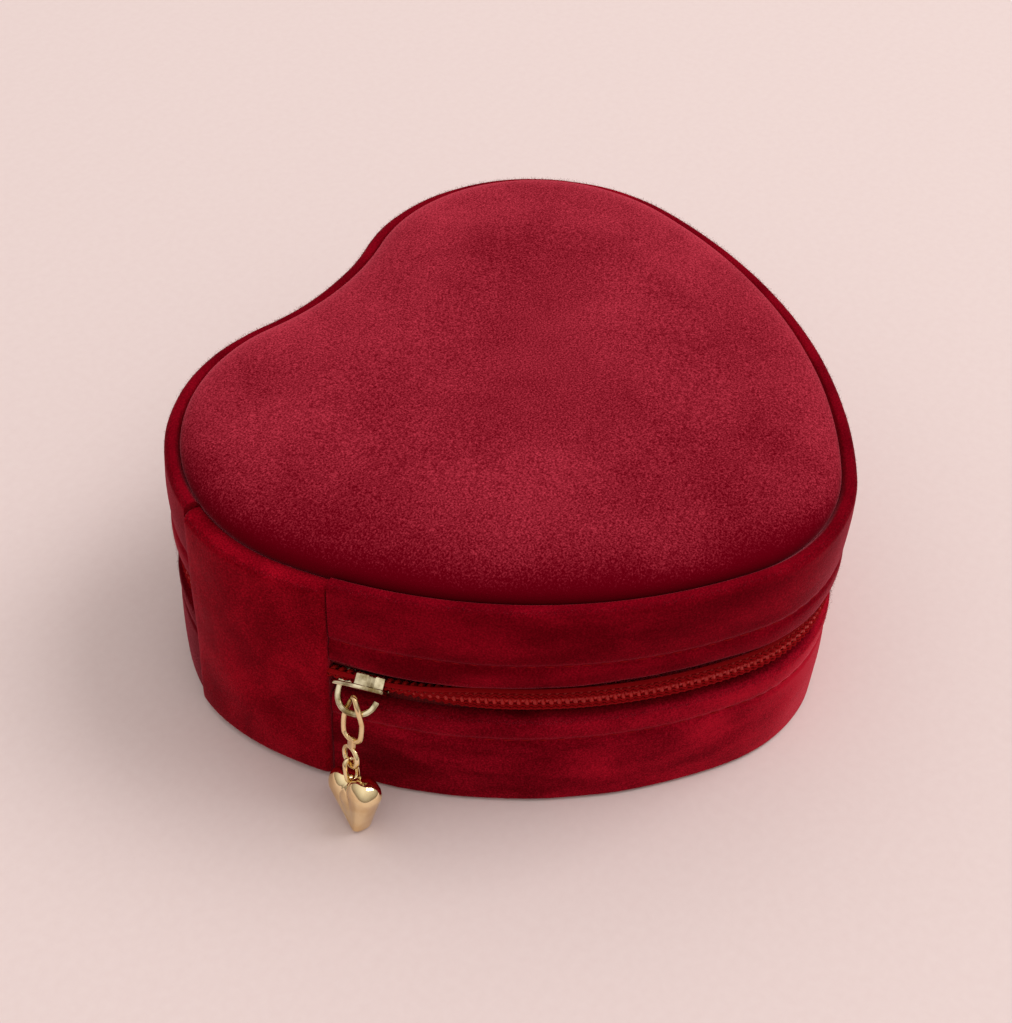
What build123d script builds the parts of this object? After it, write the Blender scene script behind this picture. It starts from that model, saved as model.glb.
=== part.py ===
from build123d import *
import math
import os

# Heart-shaped velvet jewellery case with a zip round its waist. Millimetres, +Z up.
# The heart's middle line is the Y axis: tip at -Y, notch at +Y. The origin is the middle of
# the heart's box on the face that the case stands on. The hinge is on the -X lobe.

# Outline at the outer velvet face, a closed chain of tangent arcs
LOBE_OFFSET = 24.0
LOBE_RADIUS = 32.8
TIP_RADIUS = 28.5
SIDE_RADIUS = 85.3
NOTCH_RADIUS = 49.5
LOBE_TO_TIP = 40.5

# Heights
BASE_EDGE_Z = 19.8
LID_EDGE_Z = 28.6
RIM_Z = 45.0
SKIRT_LIFT = 0.3

# Layers of the walls, from the outside in
VELVET_THICKNESS = 2.8
WALL_BOARD = 1.8
WALL_LINING = 0.8
VELVET_ROUND = 1.1

# Layers of the base floor, from the table up
BOTTOM_COVER = 1.2
FLOOR_BOARD = 2.0
FLOOR_LINING = 1.0

# Layers of the lid top, from the ceiling up
LINING_PANEL = 2.4
MIRROR_THICKNESS = 2.0
TOP_BOARD = 1.5
TOP_VELVET = 1.0
RIM_ABOVE_BOARD = 2.5
CROWN_RISE = 3.2
GROOVE = 0.5
CROWN_REACH = 11.0
PAD_TUCK = 0.5

# Mirror in the ceiling lining
MIRROR_INSET = 17.0
MIRROR_LIP = 2.0
MIRROR_CLEARANCE = 0.2

# Velvet hinge panel and the lining strip behind it, reaches along the outline from the hinge point
PANEL_FRONT_REACH = 14.4
PANEL_REAR_REACH = 13.0
PANEL_PROUD = 0.7
PANEL_LIFT = 0.6
PANEL_DROP = 1.2
SEAM_GAP = 0.2
HINGE_LINING_REACH = 13.0
HINGE_LINING_OVERLAP = 4.0
HINGE_LINING_THICKNESS = 0.5

# Zip chain: a coil half on each tape
TAPE_THICKNESS = 0.5
TAPE_TUCK = 7.0
TAPE_CLEARANCE = 0.06
TAPE_BEND = 0.6
COIL_THICKNESS = 1.9
COIL_HALF_WIDTH = 2.0
COIL_GAP = 0.3
COIL_SPREAD = 0.8

# Slider, tipped outer face down by the hanging pull
SLIDER_TILT = 35.0
SLIDER_LENGTH = 8.6
SLIDER_PLATE = 0.7
SLIDER_FLANGE = 0.6
SLIDER_FLANGE_LENGTH = 4.8
SLIDER_NOSE_SHARE = 0.4
SLIDER_POST_LENGTH = 2.6
SLIDER_POST_WIDTH = 1.0
SLIDER_INNER_WIDTH = 4.6
SLIDER_CLEARANCE = 0.25
SLIDER_PANEL_GAP = 0.5
TWIST_RUN = 17.0

# Bail on the slider's outer plate
BAIL_WIDTH = 1.0
BAIL_BAR = 0.95
BAIL_LENGTH = 7.4
BAIL_STANDOFF = 4.2
BAIL_MOUTH = 0.5

# Figure-eight link through the bail
LINK_WIRE = 0.9
LINK_LOOP_LENGTH = 9.2
LINK_LOOP_WIDTH = 4.6
LINK_SLACK = 2.6
LINK_NECK = 1.5
LINK_NECK_WIDTH = 1.5
LINK_NECK_DEPTH = 0.8
LINK_RING_RADIUS = 1.75
LINK_LEAN = 11.0
LINK_TURN = 48.0

# Puffed heart charm with its eyelet
CHARM_LOBE_OFFSET = 2.75
CHARM_LOBE_RADIUS = 2.85
CHARM_TIP_RADIUS = 0.9
CHARM_SIDE_RADIUS = 13.0
CHARM_NOTCH_RADIUS = 0.7
CHARM_LOBE_TO_TIP = 6.6
CHARM_THICKNESS = 5.0
EYELET_LENGTH = 3.8
EYELET_WIDTH = 2.9
EYELET_WIRE = 0.8
EYELET_CLEARANCE = 0.15
CHARM_TURN = 38.0
CHARM_ROLL = 24.0
CHARM_LIFT = 0.15

# Fittings in the base
DIVIDER_Y = 3.0
DIVIDER_THICKNESS = 3.0
DIVIDER_HEIGHT = 15.4
ROLL_COUNT = 4
ROLL_HEIGHT = 14.0
FITTING_CLEARANCE = 0.3

# Derived levels
ZIP_Z = (BASE_EDGE_Z + LID_EDGE_Z) / 2
FLOOR_TOP_Z = BOTTOM_COVER + FLOOR_BOARD + FLOOR_LINING
TOP_BOARD_Z = RIM_Z - RIM_ABOVE_BOARD - TOP_BOARD
PAD_Z = TOP_BOARD_Z + TOP_BOARD
CEILING_Z = TOP_BOARD_Z - LINING_PANEL

# Derived insets from the outer velvet face
TAPE_INSET = VELVET_THICKNESS - TAPE_THICKNESS - TAPE_CLEARANCE
BOARD_INSET = VELVET_THICKNESS
LINING_INSET = BOARD_INSET + WALL_BOARD
ROOM_INSET = LINING_INSET + WALL_LINING
COIL_INSET = TAPE_INSET - TAPE_CLEARANCE - COIL_THICKNESS / 2


class Arc:
    """One arc of an outline, by its centre, radius, start angle and signed sweep in radians."""

    def __init__(self, centre, radius, start, sweep):
        self.centre = Vector(*centre)
        self.radius = radius
        self.start = start
        self.sweep = sweep
        self.length = radius * abs(sweep)
        self.bulge = 1 if sweep > 0 else -1

    def point(self, share, inset=0.0):
        angle = self.start + share * self.sweep
        reach = self.radius - self.bulge * inset
        return self.centre + Vector(math.cos(angle), math.sin(angle)) * reach


class Heart:
    """Heart outline run counter-clockwise, with places along it counted from its outermost -X point."""

    def __init__(self, lobe_offset, lobe_radius, tip_radius, side_radius, notch_radius, lobe_to_tip):
        lobe_y = (lobe_to_tip + tip_radius - lobe_radius) / 2
        lobe = Vector(-lobe_offset, lobe_y)
        tip = Vector(0, lobe_y - lobe_to_tip)
        along = tip - lobe
        to_lobe = side_radius - lobe_radius
        to_tip = side_radius - tip_radius
        foot = (to_lobe**2 - to_tip**2 + along.length**2) / (2 * along.length)
        side = lobe + along.normalized() * foot
        side += Vector(-along.Y, along.X).normalized() * math.sqrt(to_lobe**2 - foot**2)
        notch = Vector(0, lobe_y + math.sqrt((lobe_radius + notch_radius) ** 2 - lobe_offset**2))

        full = 2 * math.pi
        to_side = math.atan2(lobe.Y - side.Y, lobe.X - side.X) % full
        to_tip_side = math.atan2(tip.Y - side.Y, tip.X - side.X) % full
        to_notch = math.atan2(notch.Y - lobe_y, -lobe_offset)
        lobe_sweep = to_side - math.pi + to_notch
        side_sweep = to_tip_side - to_side
        self.side_centre = side
        self.tip = Vector(0, tip.Y - tip_radius)
        self.notch = Vector(0, notch.Y - notch_radius)
        self.depth = lobe_radius + lobe_to_tip + tip_radius
        self.arcs = [
            Arc((lobe.X, lobe.Y), lobe_radius, math.pi - to_notch, lobe_sweep),
            Arc((side.X, side.Y), side_radius, to_side, side_sweep),
            Arc((tip.X, tip.Y), tip_radius, to_tip_side, 3 * math.pi - 2 * to_tip_side),
            Arc((-side.X, side.Y), side_radius, 3 * math.pi - to_tip_side, side_sweep),
            Arc((-lobe.X, lobe.Y), lobe_radius, 3 * math.pi - to_side, lobe_sweep),
            Arc((notch.X, notch.Y), notch_radius, to_notch - math.pi, math.pi - 2 * to_notch),
        ]
        self.length = sum(arc.length for arc in self.arcs)

        # The outermost -X point is on the lobe, or on the side where that bulges past the lobe
        on_lobe = min(math.pi, to_side) - math.pi + to_notch
        on_side = max(0, math.pi - to_side)
        self.outermost = lobe_radius * on_lobe + side_radius * on_side
        self.width = 2 * abs(self.place(0)[0].X)

    def spans(self, start, end):
        """Stretches of arcs between two places along the outline, which may be negative."""
        for turn in (-1, 0, 1):
            at = turn * self.length - self.outermost
            for arc in self.arcs:
                low, high = max(start, at), min(end, at + arc.length)
                if high - low > 1e-6:
                    first = arc.start + arc.sweep * (low - at) / arc.length
                    yield arc, first, arc.sweep * (high - low) / arc.length
                at += arc.length

    def place(self, along):
        """Point, tangent and outward normal at a place along the outline."""
        arc, first, _ = next(self.spans(along, along + 1e-3))
        outward = Vector(math.cos(first), math.sin(first))
        point = arc.centre + outward * arc.radius
        normal = outward * arc.bulge
        return point, Vector(-normal.Y, normal.X), normal

    def face(self, inset, z):
        edges = [
            ThreePointArc(*[arc.point(share, inset) + Vector(0, 0, z) for share in (0, 0.5, 1)])
            for arc in self.arcs
        ]
        return make_face(edges)

    def prism(self, inset, low, high):
        return extrude(self.face(inset, low), amount=high - low, dir=(0, 0, 1))

    def band(self, corners, start, end, rounds=()):
        """A closed (outward, z) profile carried along the outline between two places."""
        pieces = []
        for arc, first, sweep in self.spans(start, end):
            outline = Polyline(*[(arc.bulge * out, z) for out, z in corners], close=True)
            profile = make_face(outline)
            for corner, radius in rounds:
                spot = Vector(arc.bulge * corners[corner][0], corners[corner][1])
                profile = fillet(profile.vertices().sort_by_distance(spot)[0], radius)
            radial = Vector(math.cos(first), math.sin(first))
            plane = Plane(arc.centre, x_dir=radial, z_dir=radial.cross(Vector(0, 0, 1)))
            turn = Axis(arc.centre, (0, 0, arc.bulge))
            turned = revolve(plane * Pos(arc.radius, 0) * profile, turn, math.degrees(abs(sweep)))
            pieces.append(turned)
        return pieces[0].fuse(*pieces[1:]).clean() if len(pieces) > 1 else pieces[0]


def box_profile(outer, inner, low, high):
    """Rectangle of a wall layer between two insets and two heights."""
    return [(-outer, low), (-inner, low), (-inner, high), (-outer, high)]


def ring(outer, inner, low, high):
    return heart.prism(outer, low, high) - heart.prism(inner, low, high)


STANDING = (Align.CENTER, Align.CENTER, Align.MIN)
heart = Heart(LOBE_OFFSET, LOBE_RADIUS, TIP_RADIUS, SIDE_RADIUS, NOTCH_RADIUS, LOBE_TO_TIP)
hinge_point, _, _ = heart.place(0)

# The zip runs from the panel's front edge all the way round to its rear edge
ZIP_START = PANEL_FRONT_REACH + SEAM_GAP
ZIP_END = heart.length - PANEL_REAR_REACH - SEAM_GAP
SLIDER_NOSE = PANEL_FRONT_REACH + SLIDER_PANEL_GAP
SLIDER_MIDDLE = SLIDER_NOSE + SLIDER_LENGTH / 2
SLIDER_TAIL = SLIDER_NOSE + SLIDER_LENGTH
TWIST_END = SLIDER_TAIL + TWIST_RUN


def smooth(share):
    share = min(max(share, 0), 1)
    return share * share * (3 - 2 * share)


def zip_axes(along, tilt):
    """Centre of the chain with its along, across and outward directions, tipped by an angle."""
    point, tangent, normal = heart.place(along)
    lean = math.radians(tilt)
    up = Vector(0, 0, 1)
    centre = point - normal * COIL_INSET + up * ZIP_Z
    outward = normal * math.cos(lean) - up * math.sin(lean)
    across = up * math.cos(lean) + normal * math.sin(lean)
    return centre, tangent, across, outward


def chain_tilt(along):
    return SLIDER_TILT * (1 - smooth((along - SLIDER_TAIL) / TWIST_RUN))


def chain_spread(along):
    """Each coil half parts from the other towards the slider's nose."""
    return COIL_SPREAD * (1 - smooth((along - SLIDER_NOSE) / (SLIDER_LENGTH - SLIDER_FLANGE_LENGTH / 2)))


def chain_places():
    """Places of the cross-sections through the slider and the twisted stretch behind it."""
    through = [ZIP_START + (SLIDER_TAIL - ZIP_START) * share for share in (0, 0.25, 0.5, 0.75, 1)]
    behind = [SLIDER_TAIL + TWIST_RUN * share for share in (0.2, 0.4, 0.6, 0.8, 1)]
    return through + behind


def polygon(points):
    return make_face(Polyline(*points, close=True))


def coil_profile(side, spread=0.0):
    """Rounded section of a coil half, as (outward, across) from the chain's centre."""
    half = COIL_THICKNESS / 2
    near = COIL_GAP / 2 + spread
    far = COIL_HALF_WIDTH + spread
    chamfer = COIL_THICKNESS / 4
    corners = [
        (-half, near),
        (half - chamfer, near),
        (half, near + chamfer),
        (half, far - chamfer),
        (half - chamfer, far),
        (-half, far),
    ]
    return [(out, side * across) for out, across in corners]


def zip_coil(side):
    """One half of the nylon coil: twisted through the slider, then plain to the panel's rear edge."""
    sections = []
    for along in chain_places():
        centre, _, across, outward = zip_axes(along, chain_tilt(along))
        corners = coil_profile(side, chain_spread(along))
        sections.append(polygon([centre + outward * out + across * up for out, up in corners]))
    plain = [(out - COIL_INSET, ZIP_Z + up) for out, up in coil_profile(side)]
    return (loft(sections, ruled=True) + heart.band(plain, TWIST_END, ZIP_END)).clean()


def thicken(spine, thickness):
    """Closed outline of a strip of even thickness along a line of points, with mitred bends."""
    left, right = [], []
    for index, point in enumerate(spine):
        before = (point - spine[index - 1]).normalized() if index else None
        after = (spine[index + 1] - point).normalized() if index + 1 < len(spine) else None
        heading = ((before or after) + (after or before)).normalized()
        normal = Vector(-heading.Y, heading.X)
        run = before or after
        stretch = 1 / abs(normal.dot(Vector(-run.Y, run.X)))
        left.append(point + normal * thickness / 2 * stretch)
        right.append(point - normal * thickness / 2 * stretch)
    return left + right[::-1]


def tape_spine(side, along):
    """Middle of the tape's section, as (outward, z), from under the coil to its end in the wall."""
    lean = math.radians(chain_tilt(along))
    behind = -(COIL_THICKNESS + TAPE_THICKNESS) / 2 - TAPE_CLEARANCE
    leave = COIL_HALF_WIDTH + 2 * SLIDER_CLEARANCE + SLIDER_FLANGE
    edge = LID_EDGE_Z if side > 0 else BASE_EDGE_Z
    spine = []
    for across in (COIL_GAP + chain_spread(along), leave):
        out = behind * math.cos(lean) + side * across * math.sin(lean)
        up = side * across * math.cos(lean) - behind * math.sin(lean)
        spine.append(Vector(out - COIL_INSET, ZIP_Z + up))
    in_wall = -TAPE_INSET - TAPE_THICKNESS / 2
    for rise in (-TAPE_BEND, TAPE_TUCK):
        spine.append(Vector(in_wall, edge + side * rise))
    return spine


def zip_tape(side):
    """Woven tape of one side, sewn in behind the velvet edge."""
    sections = []
    for along in chain_places():
        point, _, normal = heart.place(along)
        outline = thicken(tape_spine(side, along), TAPE_THICKNESS)
        sections.append(polygon([point + normal * p.X + Vector(0, 0, p.Y) for p in outline]))
    edge = LID_EDGE_Z if side > 0 else BASE_EDGE_Z
    inner = TAPE_INSET + TAPE_THICKNESS
    plain = box_profile(TAPE_INSET, inner, ZIP_Z + side * COIL_GAP, edge + side * TAPE_TUCK)
    return (loft(sections, ruled=True) + heart.band(plain, TWIST_END, ZIP_END)).clean()


def side_velvet(edge, far, side):
    """Foam-backed velvet band, rebated behind its zip edge for the tape."""
    step = edge + side * TAPE_TUCK
    corners = [
        (0, edge),
        (-TAPE_INSET, edge),
        (-TAPE_INSET, step),
        (-BOARD_INSET, step),
        (-BOARD_INSET, far),
        (0, far),
    ]
    rounds = [(0, VELVET_ROUND), (5, VELVET_ROUND)]
    return heart.band(corners, PANEL_FRONT_REACH + SEAM_GAP, ZIP_END, rounds)


def wall_lining(edge, far, side):
    """Lining band whose lip is turned over the board's edge."""
    lip = edge + side * WALL_LINING
    band = ring(LINING_INSET, ROOM_INSET, min(edge, far), max(edge, far))
    return band + ring(BOARD_INSET, LINING_INSET, min(edge, lip), max(edge, lip))


def wall_board(edge, far, side):
    start = edge + side * WALL_LINING
    return ring(BOARD_INSET, LINING_INSET, min(start, far), max(start, far))


def crowned_pad(shrink):
    """Padded heart: sides drawn in at the groove, then a crown rising over its rounded edge."""
    edge = BOARD_INSET + GROOVE + shrink
    swell_z = PAD_Z + (RIM_Z - PAD_Z) / 2
    top_z = RIM_Z + CROWN_RISE - shrink
    sections = [heart.face(edge + PAD_TUCK, PAD_Z), heart.face(edge, swell_z)]
    for turn in (30, 52, 70, 84):
        angle = math.radians(turn)
        inset = edge + CROWN_REACH * (1 - math.cos(angle))
        sections.append(heart.face(inset, swell_z + (top_z - swell_z) * math.sin(angle)))
    return loft(sections, ruled=True)


def hinge_panel():
    """Full-height velvet strip that bridges lid and base at the hinge."""
    corners = box_profile(-PANEL_PROUD, TAPE_INSET, PANEL_LIFT, RIM_Z - PANEL_DROP)
    rounds = [(0, VELVET_ROUND), (3, VELVET_ROUND)]
    return heart.band(corners, -PANEL_REAR_REACH, PANEL_FRONT_REACH, rounds)


def hinge_lining():
    """Strip behind the hinge, glued over the edges of both wall linings."""
    low, high = BASE_EDGE_Z - HINGE_LINING_OVERLAP, LID_EDGE_Z + HINGE_LINING_OVERLAP
    corners = box_profile(ROOM_INSET, ROOM_INSET + HINGE_LINING_THICKNESS, low, high)
    return heart.band(corners, -HINGE_LINING_REACH, HINGE_LINING_REACH)


def lining_panel():
    """Ceiling of the lid with a stepped window that holds the mirror by its edge."""
    panel = heart.prism(LINING_INSET, CEILING_Z, TOP_BOARD_Z)
    recess = heart.prism(MIRROR_INSET - MIRROR_CLEARANCE, TOP_BOARD_Z - MIRROR_THICKNESS, TOP_BOARD_Z)
    return panel - recess - heart.prism(MIRROR_INSET + MIRROR_LIP, CEILING_Z, TOP_BOARD_Z)


def in_room(shape, clearance):
    """Keeps what lies inside the lining of the base."""
    return shape & heart.prism(ROOM_INSET + clearance, 0, RIM_Z)


def cross_divider():
    bar = Box(heart.width, DIVIDER_THICKNESS, DIVIDER_HEIGHT, align=STANDING)
    return in_room(Pos(0, DIVIDER_Y, FLOOR_TOP_Z) * bar, FITTING_CLEARANCE)


def lobe_divider():
    near = DIVIDER_Y + DIVIDER_THICKNESS / 2
    bar = Box(DIVIDER_THICKNESS, heart.depth, DIVIDER_HEIGHT, align=(Align.CENTER, Align.MIN, Align.MIN))
    return in_room(Pos(0, near, FLOOR_TOP_Z) * bar, FITTING_CLEARANCE)


def ring_roll(index):
    """Foam roll wrapped in velvet, round on top, cut to the heart's width."""
    front = DIVIDER_Y - DIVIDER_THICKNESS / 2
    tip_side = heart.tip.Y + ROOM_INSET + FITTING_CLEARANCE
    width = (front - tip_side) / ROLL_COUNT
    middle = front - (index + 0.5) * width
    crown = width / 2 - FITTING_CLEARANCE / 2
    shoulder = FLOOR_TOP_Z + ROLL_HEIGHT - crown
    outline = [
        Line((middle - crown, FLOOR_TOP_Z), (middle + crown, FLOOR_TOP_Z)),
        Line((middle + crown, FLOOR_TOP_Z), (middle + crown, shoulder)),
        RadiusArc((middle + crown, shoulder), (middle, shoulder + crown), -crown),
        RadiusArc((middle, shoulder + crown), (middle - crown, shoulder), -crown),
        Line((middle - crown, shoulder), (middle - crown, FLOOR_TOP_Z)),
    ]
    end = Plane(origin=(-heart.width / 2, 0, 0), x_dir=(0, 1, 0), z_dir=(1, 0, 0))
    bar = extrude(end * make_face(outline), amount=heart.width, dir=(1, 0, 0))
    return in_room(bar, FITTING_CLEARANCE)


# Slider in its own frame: X towards its tail, Y across the chain, Z away from the wall
CHANNEL_OUT = COIL_THICKNESS / 2 + SLIDER_CLEARANCE
CHANNEL_IN = -COIL_THICKNESS / 2 - TAPE_CLEARANCE - TAPE_THICKNESS - SLIDER_CLEARANCE
FLANGE_FACE = COIL_HALF_WIDTH + SLIDER_CLEARANCE
SLIDER_HALF = FLANGE_FACE + SLIDER_FLANGE
slider_centre, slider_along, _, slider_outward = zip_axes(SLIDER_MIDDLE, SLIDER_TILT)
slider_frame = Plane(slider_centre, x_dir=slider_along, z_dir=slider_outward)


def slider_plate(half_width, low, high):
    """Plate that tapers to a blunt nose ahead of its flanged tail."""
    end = SLIDER_LENGTH / 2
    shoulder = end - SLIDER_FLANGE_LENGTH
    half_nose = half_width * SLIDER_NOSE_SHARE
    side = [(end, half_width), (shoulder, half_width), (-end, half_nose)]
    plate = polygon(side + [(x, -y) for x, y in reversed(side)])
    plate = fillet(plate.vertices(), SLIDER_FLANGE)
    return Pos(0, 0, low) * extrude(plate, amount=high - low)


def slider_body():
    """Two plates joined by a post at the nose, with flanges that close over the coil."""
    low, high = CHANNEL_IN - SLIDER_PLATE, CHANNEL_OUT + SLIDER_PLATE
    body = slider_plate(SLIDER_HALF, CHANNEL_OUT, high)
    body += slider_plate(SLIDER_INNER_WIDTH / 2, low, CHANNEL_IN)
    post_x = -SLIDER_LENGTH / 2 + SLIDER_POST_LENGTH / 2 + SLIDER_PLATE
    post = Box(SLIDER_POST_LENGTH, SLIDER_POST_WIDTH, high - low, align=STANDING)
    body += Pos(post_x, 0, low) * post
    foot = -COIL_THICKNESS / 2 + SLIDER_CLEARANCE
    end = SLIDER_LENGTH / 2
    flange = polygon(
        [
            (end - SLIDER_FLANGE_LENGTH, FLANGE_FACE),
            (end - SLIDER_FLANGE, FLANGE_FACE),
            (end - SLIDER_FLANGE, SLIDER_HALF),
            (end - SLIDER_FLANGE_LENGTH, SLIDER_HALF),
        ]
    )
    flange = Pos(0, 0, foot) * extrude(flange, amount=high - foot)
    body += flange + mirror(flange, Plane.XZ)
    return slider_frame * body


BAIL_FOOT = CHANNEL_OUT + SLIDER_PLATE
BAIL_NOSE = -SLIDER_LENGTH / 2 + SLIDER_PLATE
BAIL_AXIS = BAIL_FOOT + BAIL_STANDOFF - BAIL_BAR / 2
BAIL_MIDDLE = BAIL_NOSE + BAIL_LENGTH / 2


def slider_bail():
    """Arch over the outer plate, rooted at the nose and open by a narrow mouth at the tail."""
    corner = BAIL_STANDOFF * 0.45
    tail = BAIL_NOSE + BAIL_LENGTH
    outer = [
        (BAIL_NOSE, BAIL_FOOT),
        (BAIL_NOSE, BAIL_FOOT + BAIL_STANDOFF),
        (tail, BAIL_FOOT + BAIL_STANDOFF),
        (tail, BAIL_FOOT),
    ]
    inner = [
        (BAIL_NOSE + BAIL_BAR, BAIL_FOOT),
        (BAIL_NOSE + BAIL_BAR, BAIL_FOOT + BAIL_STANDOFF - BAIL_BAR),
        (tail - BAIL_BAR, BAIL_FOOT + BAIL_STANDOFF - BAIL_BAR),
        (tail - BAIL_BAR, BAIL_FOOT),
    ]
    arch = fillet(polygon(outer).vertices().group_by(Axis.Y)[-1], corner)
    arch -= fillet(polygon(inner).vertices().group_by(Axis.Y)[-1], corner - BAIL_BAR / 2)
    mouth = Rectangle(2 * BAIL_BAR, 2 * BAIL_MOUTH)
    arch -= Pos(tail, BAIL_FOOT) * mouth
    upright = Plane((0, 0, 0), x_dir=(1, 0, 0), z_dir=(0, -1, 0))
    return slider_frame * extrude(upright * arch, amount=BAIL_WIDTH / 2, both=True)


# Pull: the link hangs slack on the bail and leans out, the charm's tip stands on the table
def lean_frame(origin, tangent, normal, turn, lean):
    """Frame of a hanging piece: X sideways, Y down along the piece, turned about its length."""
    down = Vector(0, 0, -1) * math.cos(math.radians(lean)) + normal * math.sin(math.radians(lean))
    out = tangent.cross(down) * -1
    swing = math.radians(turn)
    sideways = tangent * math.cos(swing) + out * math.sin(swing)
    return Plane(origin, x_dir=sideways, z_dir=sideways.cross(down))


bail_hold = slider_centre + slider_along * BAIL_MIDDLE + slider_outward * BAIL_AXIS
hang_normal = slider_along.cross(Vector(0, 0, 1))
LOOP_TOP = -LINK_SLACK - LINK_WIRE / 2
LOOP_FOOT = LOOP_TOP + LINK_LOOP_LENGTH - LINK_WIRE
RING_MIDDLE = LOOP_FOOT + LINK_NECK + LINK_RING_RADIUS
RING_FOOT = RING_MIDDLE + LINK_RING_RADIUS
loop_frame = lean_frame(bail_hold, slider_along, hang_normal, LINK_TURN, LINK_LEAN)
ring_frame = lean_frame(bail_hold, slider_along, hang_normal, CHARM_TURN, LINK_LEAN)
link_foot = ring_frame.from_local_coords(Vector(0, RING_FOOT, 0))


def wire_loop(width, low, high, diameter):
    """Round wire bent to a long loop in the XY plane, its wire's middle at low and high along Y."""
    half = (width - diameter) / 2
    foot, top = low + half, high - half
    path = Wire(
        [
            Line((half, foot), (half, top)),
            ThreePointArc((half, top), (0, high), (-half, top)),
            Line((-half, top), (-half, foot)),
            ThreePointArc((-half, foot), (0, low), (half, foot)),
        ]
    )
    section = Plane((half, foot, 0), z_dir=(0, 1, 0)) * Circle(diameter / 2)
    return sweep(section, path)


def pull_link():
    """Figure-eight link: a long loop through the bail, a neck, and a ring for the charm."""
    neck = Box(LINK_NECK_WIDTH, LINK_NECK, LINK_NECK_DEPTH)
    link = loop_frame * wire_loop(LINK_LOOP_WIDTH, LOOP_TOP, LOOP_FOOT, LINK_WIRE)
    link += ring_frame * Pos(0, LOOP_FOOT + LINK_NECK / 2) * neck
    return link + ring_frame * Pos(0, RING_MIDDLE) * Torus(LINK_RING_RADIUS, LINK_WIRE / 2)


charm_heart = Heart(
    CHARM_LOBE_OFFSET,
    CHARM_LOBE_RADIUS,
    CHARM_TIP_RADIUS,
    CHARM_SIDE_RADIUS,
    CHARM_NOTCH_RADIUS,
    CHARM_LOBE_TO_TIP,
)
EYELET_TOP = charm_heart.notch.Y + EYELET_LENGTH
CHARM_MIDDLE = EYELET_TOP - (EYELET_WIRE + LINK_WIRE) / 2 - EYELET_CLEARANCE
CHARM_REACH = CHARM_MIDDLE - charm_heart.tip.Y
charm_drop = CHARM_REACH * math.cos(math.radians(CHARM_ROLL))
charm_lean = math.degrees(math.acos(min(1, (link_foot.Z - CHARM_LIFT) / charm_drop)))
charm_side = slider_along.rotate(Axis.Z, -CHARM_TURN)
charm_out = charm_side.cross(Vector(0, 0, 1))
charm_frame = lean_frame(link_foot, charm_side, charm_out, 0, charm_lean)


def heart_charm():
    """Puffed heart, thick in the middle and rounded to its rim, with an eyelet over its notch."""
    shares = [(math.cos(math.radians(turn)), math.sin(math.radians(turn))) for turn in range(-60, 61, 20)]
    sections = [
        Pos(0, 0, CHARM_THICKNESS / 2 * rise) * scale(charm_heart.face(0, 0), 0.25 + 0.75 * share)
        for share, rise in shares
    ]
    puff = loft(sections, ruled=True)
    eyelet = Rot(0, 90, 0) * wire_loop(EYELET_WIDTH, charm_heart.notch.Y, EYELET_TOP, EYELET_WIRE)
    hung = Rot(0, 0, -CHARM_ROLL) * Pos(0, CHARM_MIDDLE) * Rot(180, 0, 0)
    return charm_frame * hung * (puff + eyelet)


NODES = {
    "bottom_cover": lambda: heart.prism(BOARD_INSET, 0, BOTTOM_COVER),
    "base_floor_board": lambda: heart.prism(LINING_INSET, BOTTOM_COVER, BOTTOM_COVER + FLOOR_BOARD),
    "base_floor_lining": lambda: heart.prism(LINING_INSET, FLOOR_TOP_Z - FLOOR_LINING, FLOOR_TOP_Z),
    "base_wall_board": lambda: wall_board(BASE_EDGE_Z, BOTTOM_COVER, -1),
    "base_wall_lining": lambda: wall_lining(BASE_EDGE_Z, FLOOR_TOP_Z, -1),
    "base_side_velvet": lambda: side_velvet(BASE_EDGE_Z, SKIRT_LIFT, -1),
    "cross_divider": cross_divider,
    "lobe_divider": lobe_divider,
    "zip_tape_lower": lambda: zip_tape(-1),
    "zip_coil_lower": lambda: zip_coil(-1),
    "hinge_panel": hinge_panel,
    "hinge_lining": hinge_lining,
    "lid_wall_board": lambda: wall_board(LID_EDGE_Z, TOP_BOARD_Z, 1),
    "lid_wall_lining": lambda: wall_lining(LID_EDGE_Z, CEILING_Z, 1),
    "lid_side_velvet": lambda: side_velvet(LID_EDGE_Z, RIM_Z, 1),
    "lid_top_board": lambda: heart.prism(BOARD_INSET, TOP_BOARD_Z, PAD_Z),
    "lid_top_foam": lambda: crowned_pad(TOP_VELVET),
    "lid_top_velvet": lambda: crowned_pad(0) - crowned_pad(TOP_VELVET),
    "lid_lining_panel": lining_panel,
    "lid_mirror": lambda: heart.prism(MIRROR_INSET, TOP_BOARD_Z - MIRROR_THICKNESS, TOP_BOARD_Z),
    "zip_tape_upper": lambda: zip_tape(1),
    "zip_coil_upper": lambda: zip_coil(1),
    "slider_body": slider_body,
    "slider_bail": slider_bail,
    "pull_link": pull_link,
    "heart_charm": heart_charm,
}
for number in range(ROLL_COUNT):
    NODES[f"ring_roll_{number + 1}"] = lambda number=number: ring_roll(number)


def main():
    os.makedirs("parts", exist_ok=True)
    for name, make in NODES.items():
        export_step(make(), f"parts/{name}.step")


if __name__ == "__main__":
    main()
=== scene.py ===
"""Looks of a heart-shaped velvet jewellery case with a zip round its waist.

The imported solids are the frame. Soft pieces are modelled anew where those solids lie, rigid
pieces are dressed, and a floor, soft light and a camera are set round them. Metres, +Z up.
"""

import logging
import math
from collections.abc import Iterable, Sequence
from dataclasses import dataclass, replace
from enum import Enum
from functools import cached_property
from typing import Any

import bmesh
import bpy
import numpy as np
from mathutils import Matrix, Vector, geometry, noise


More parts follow.
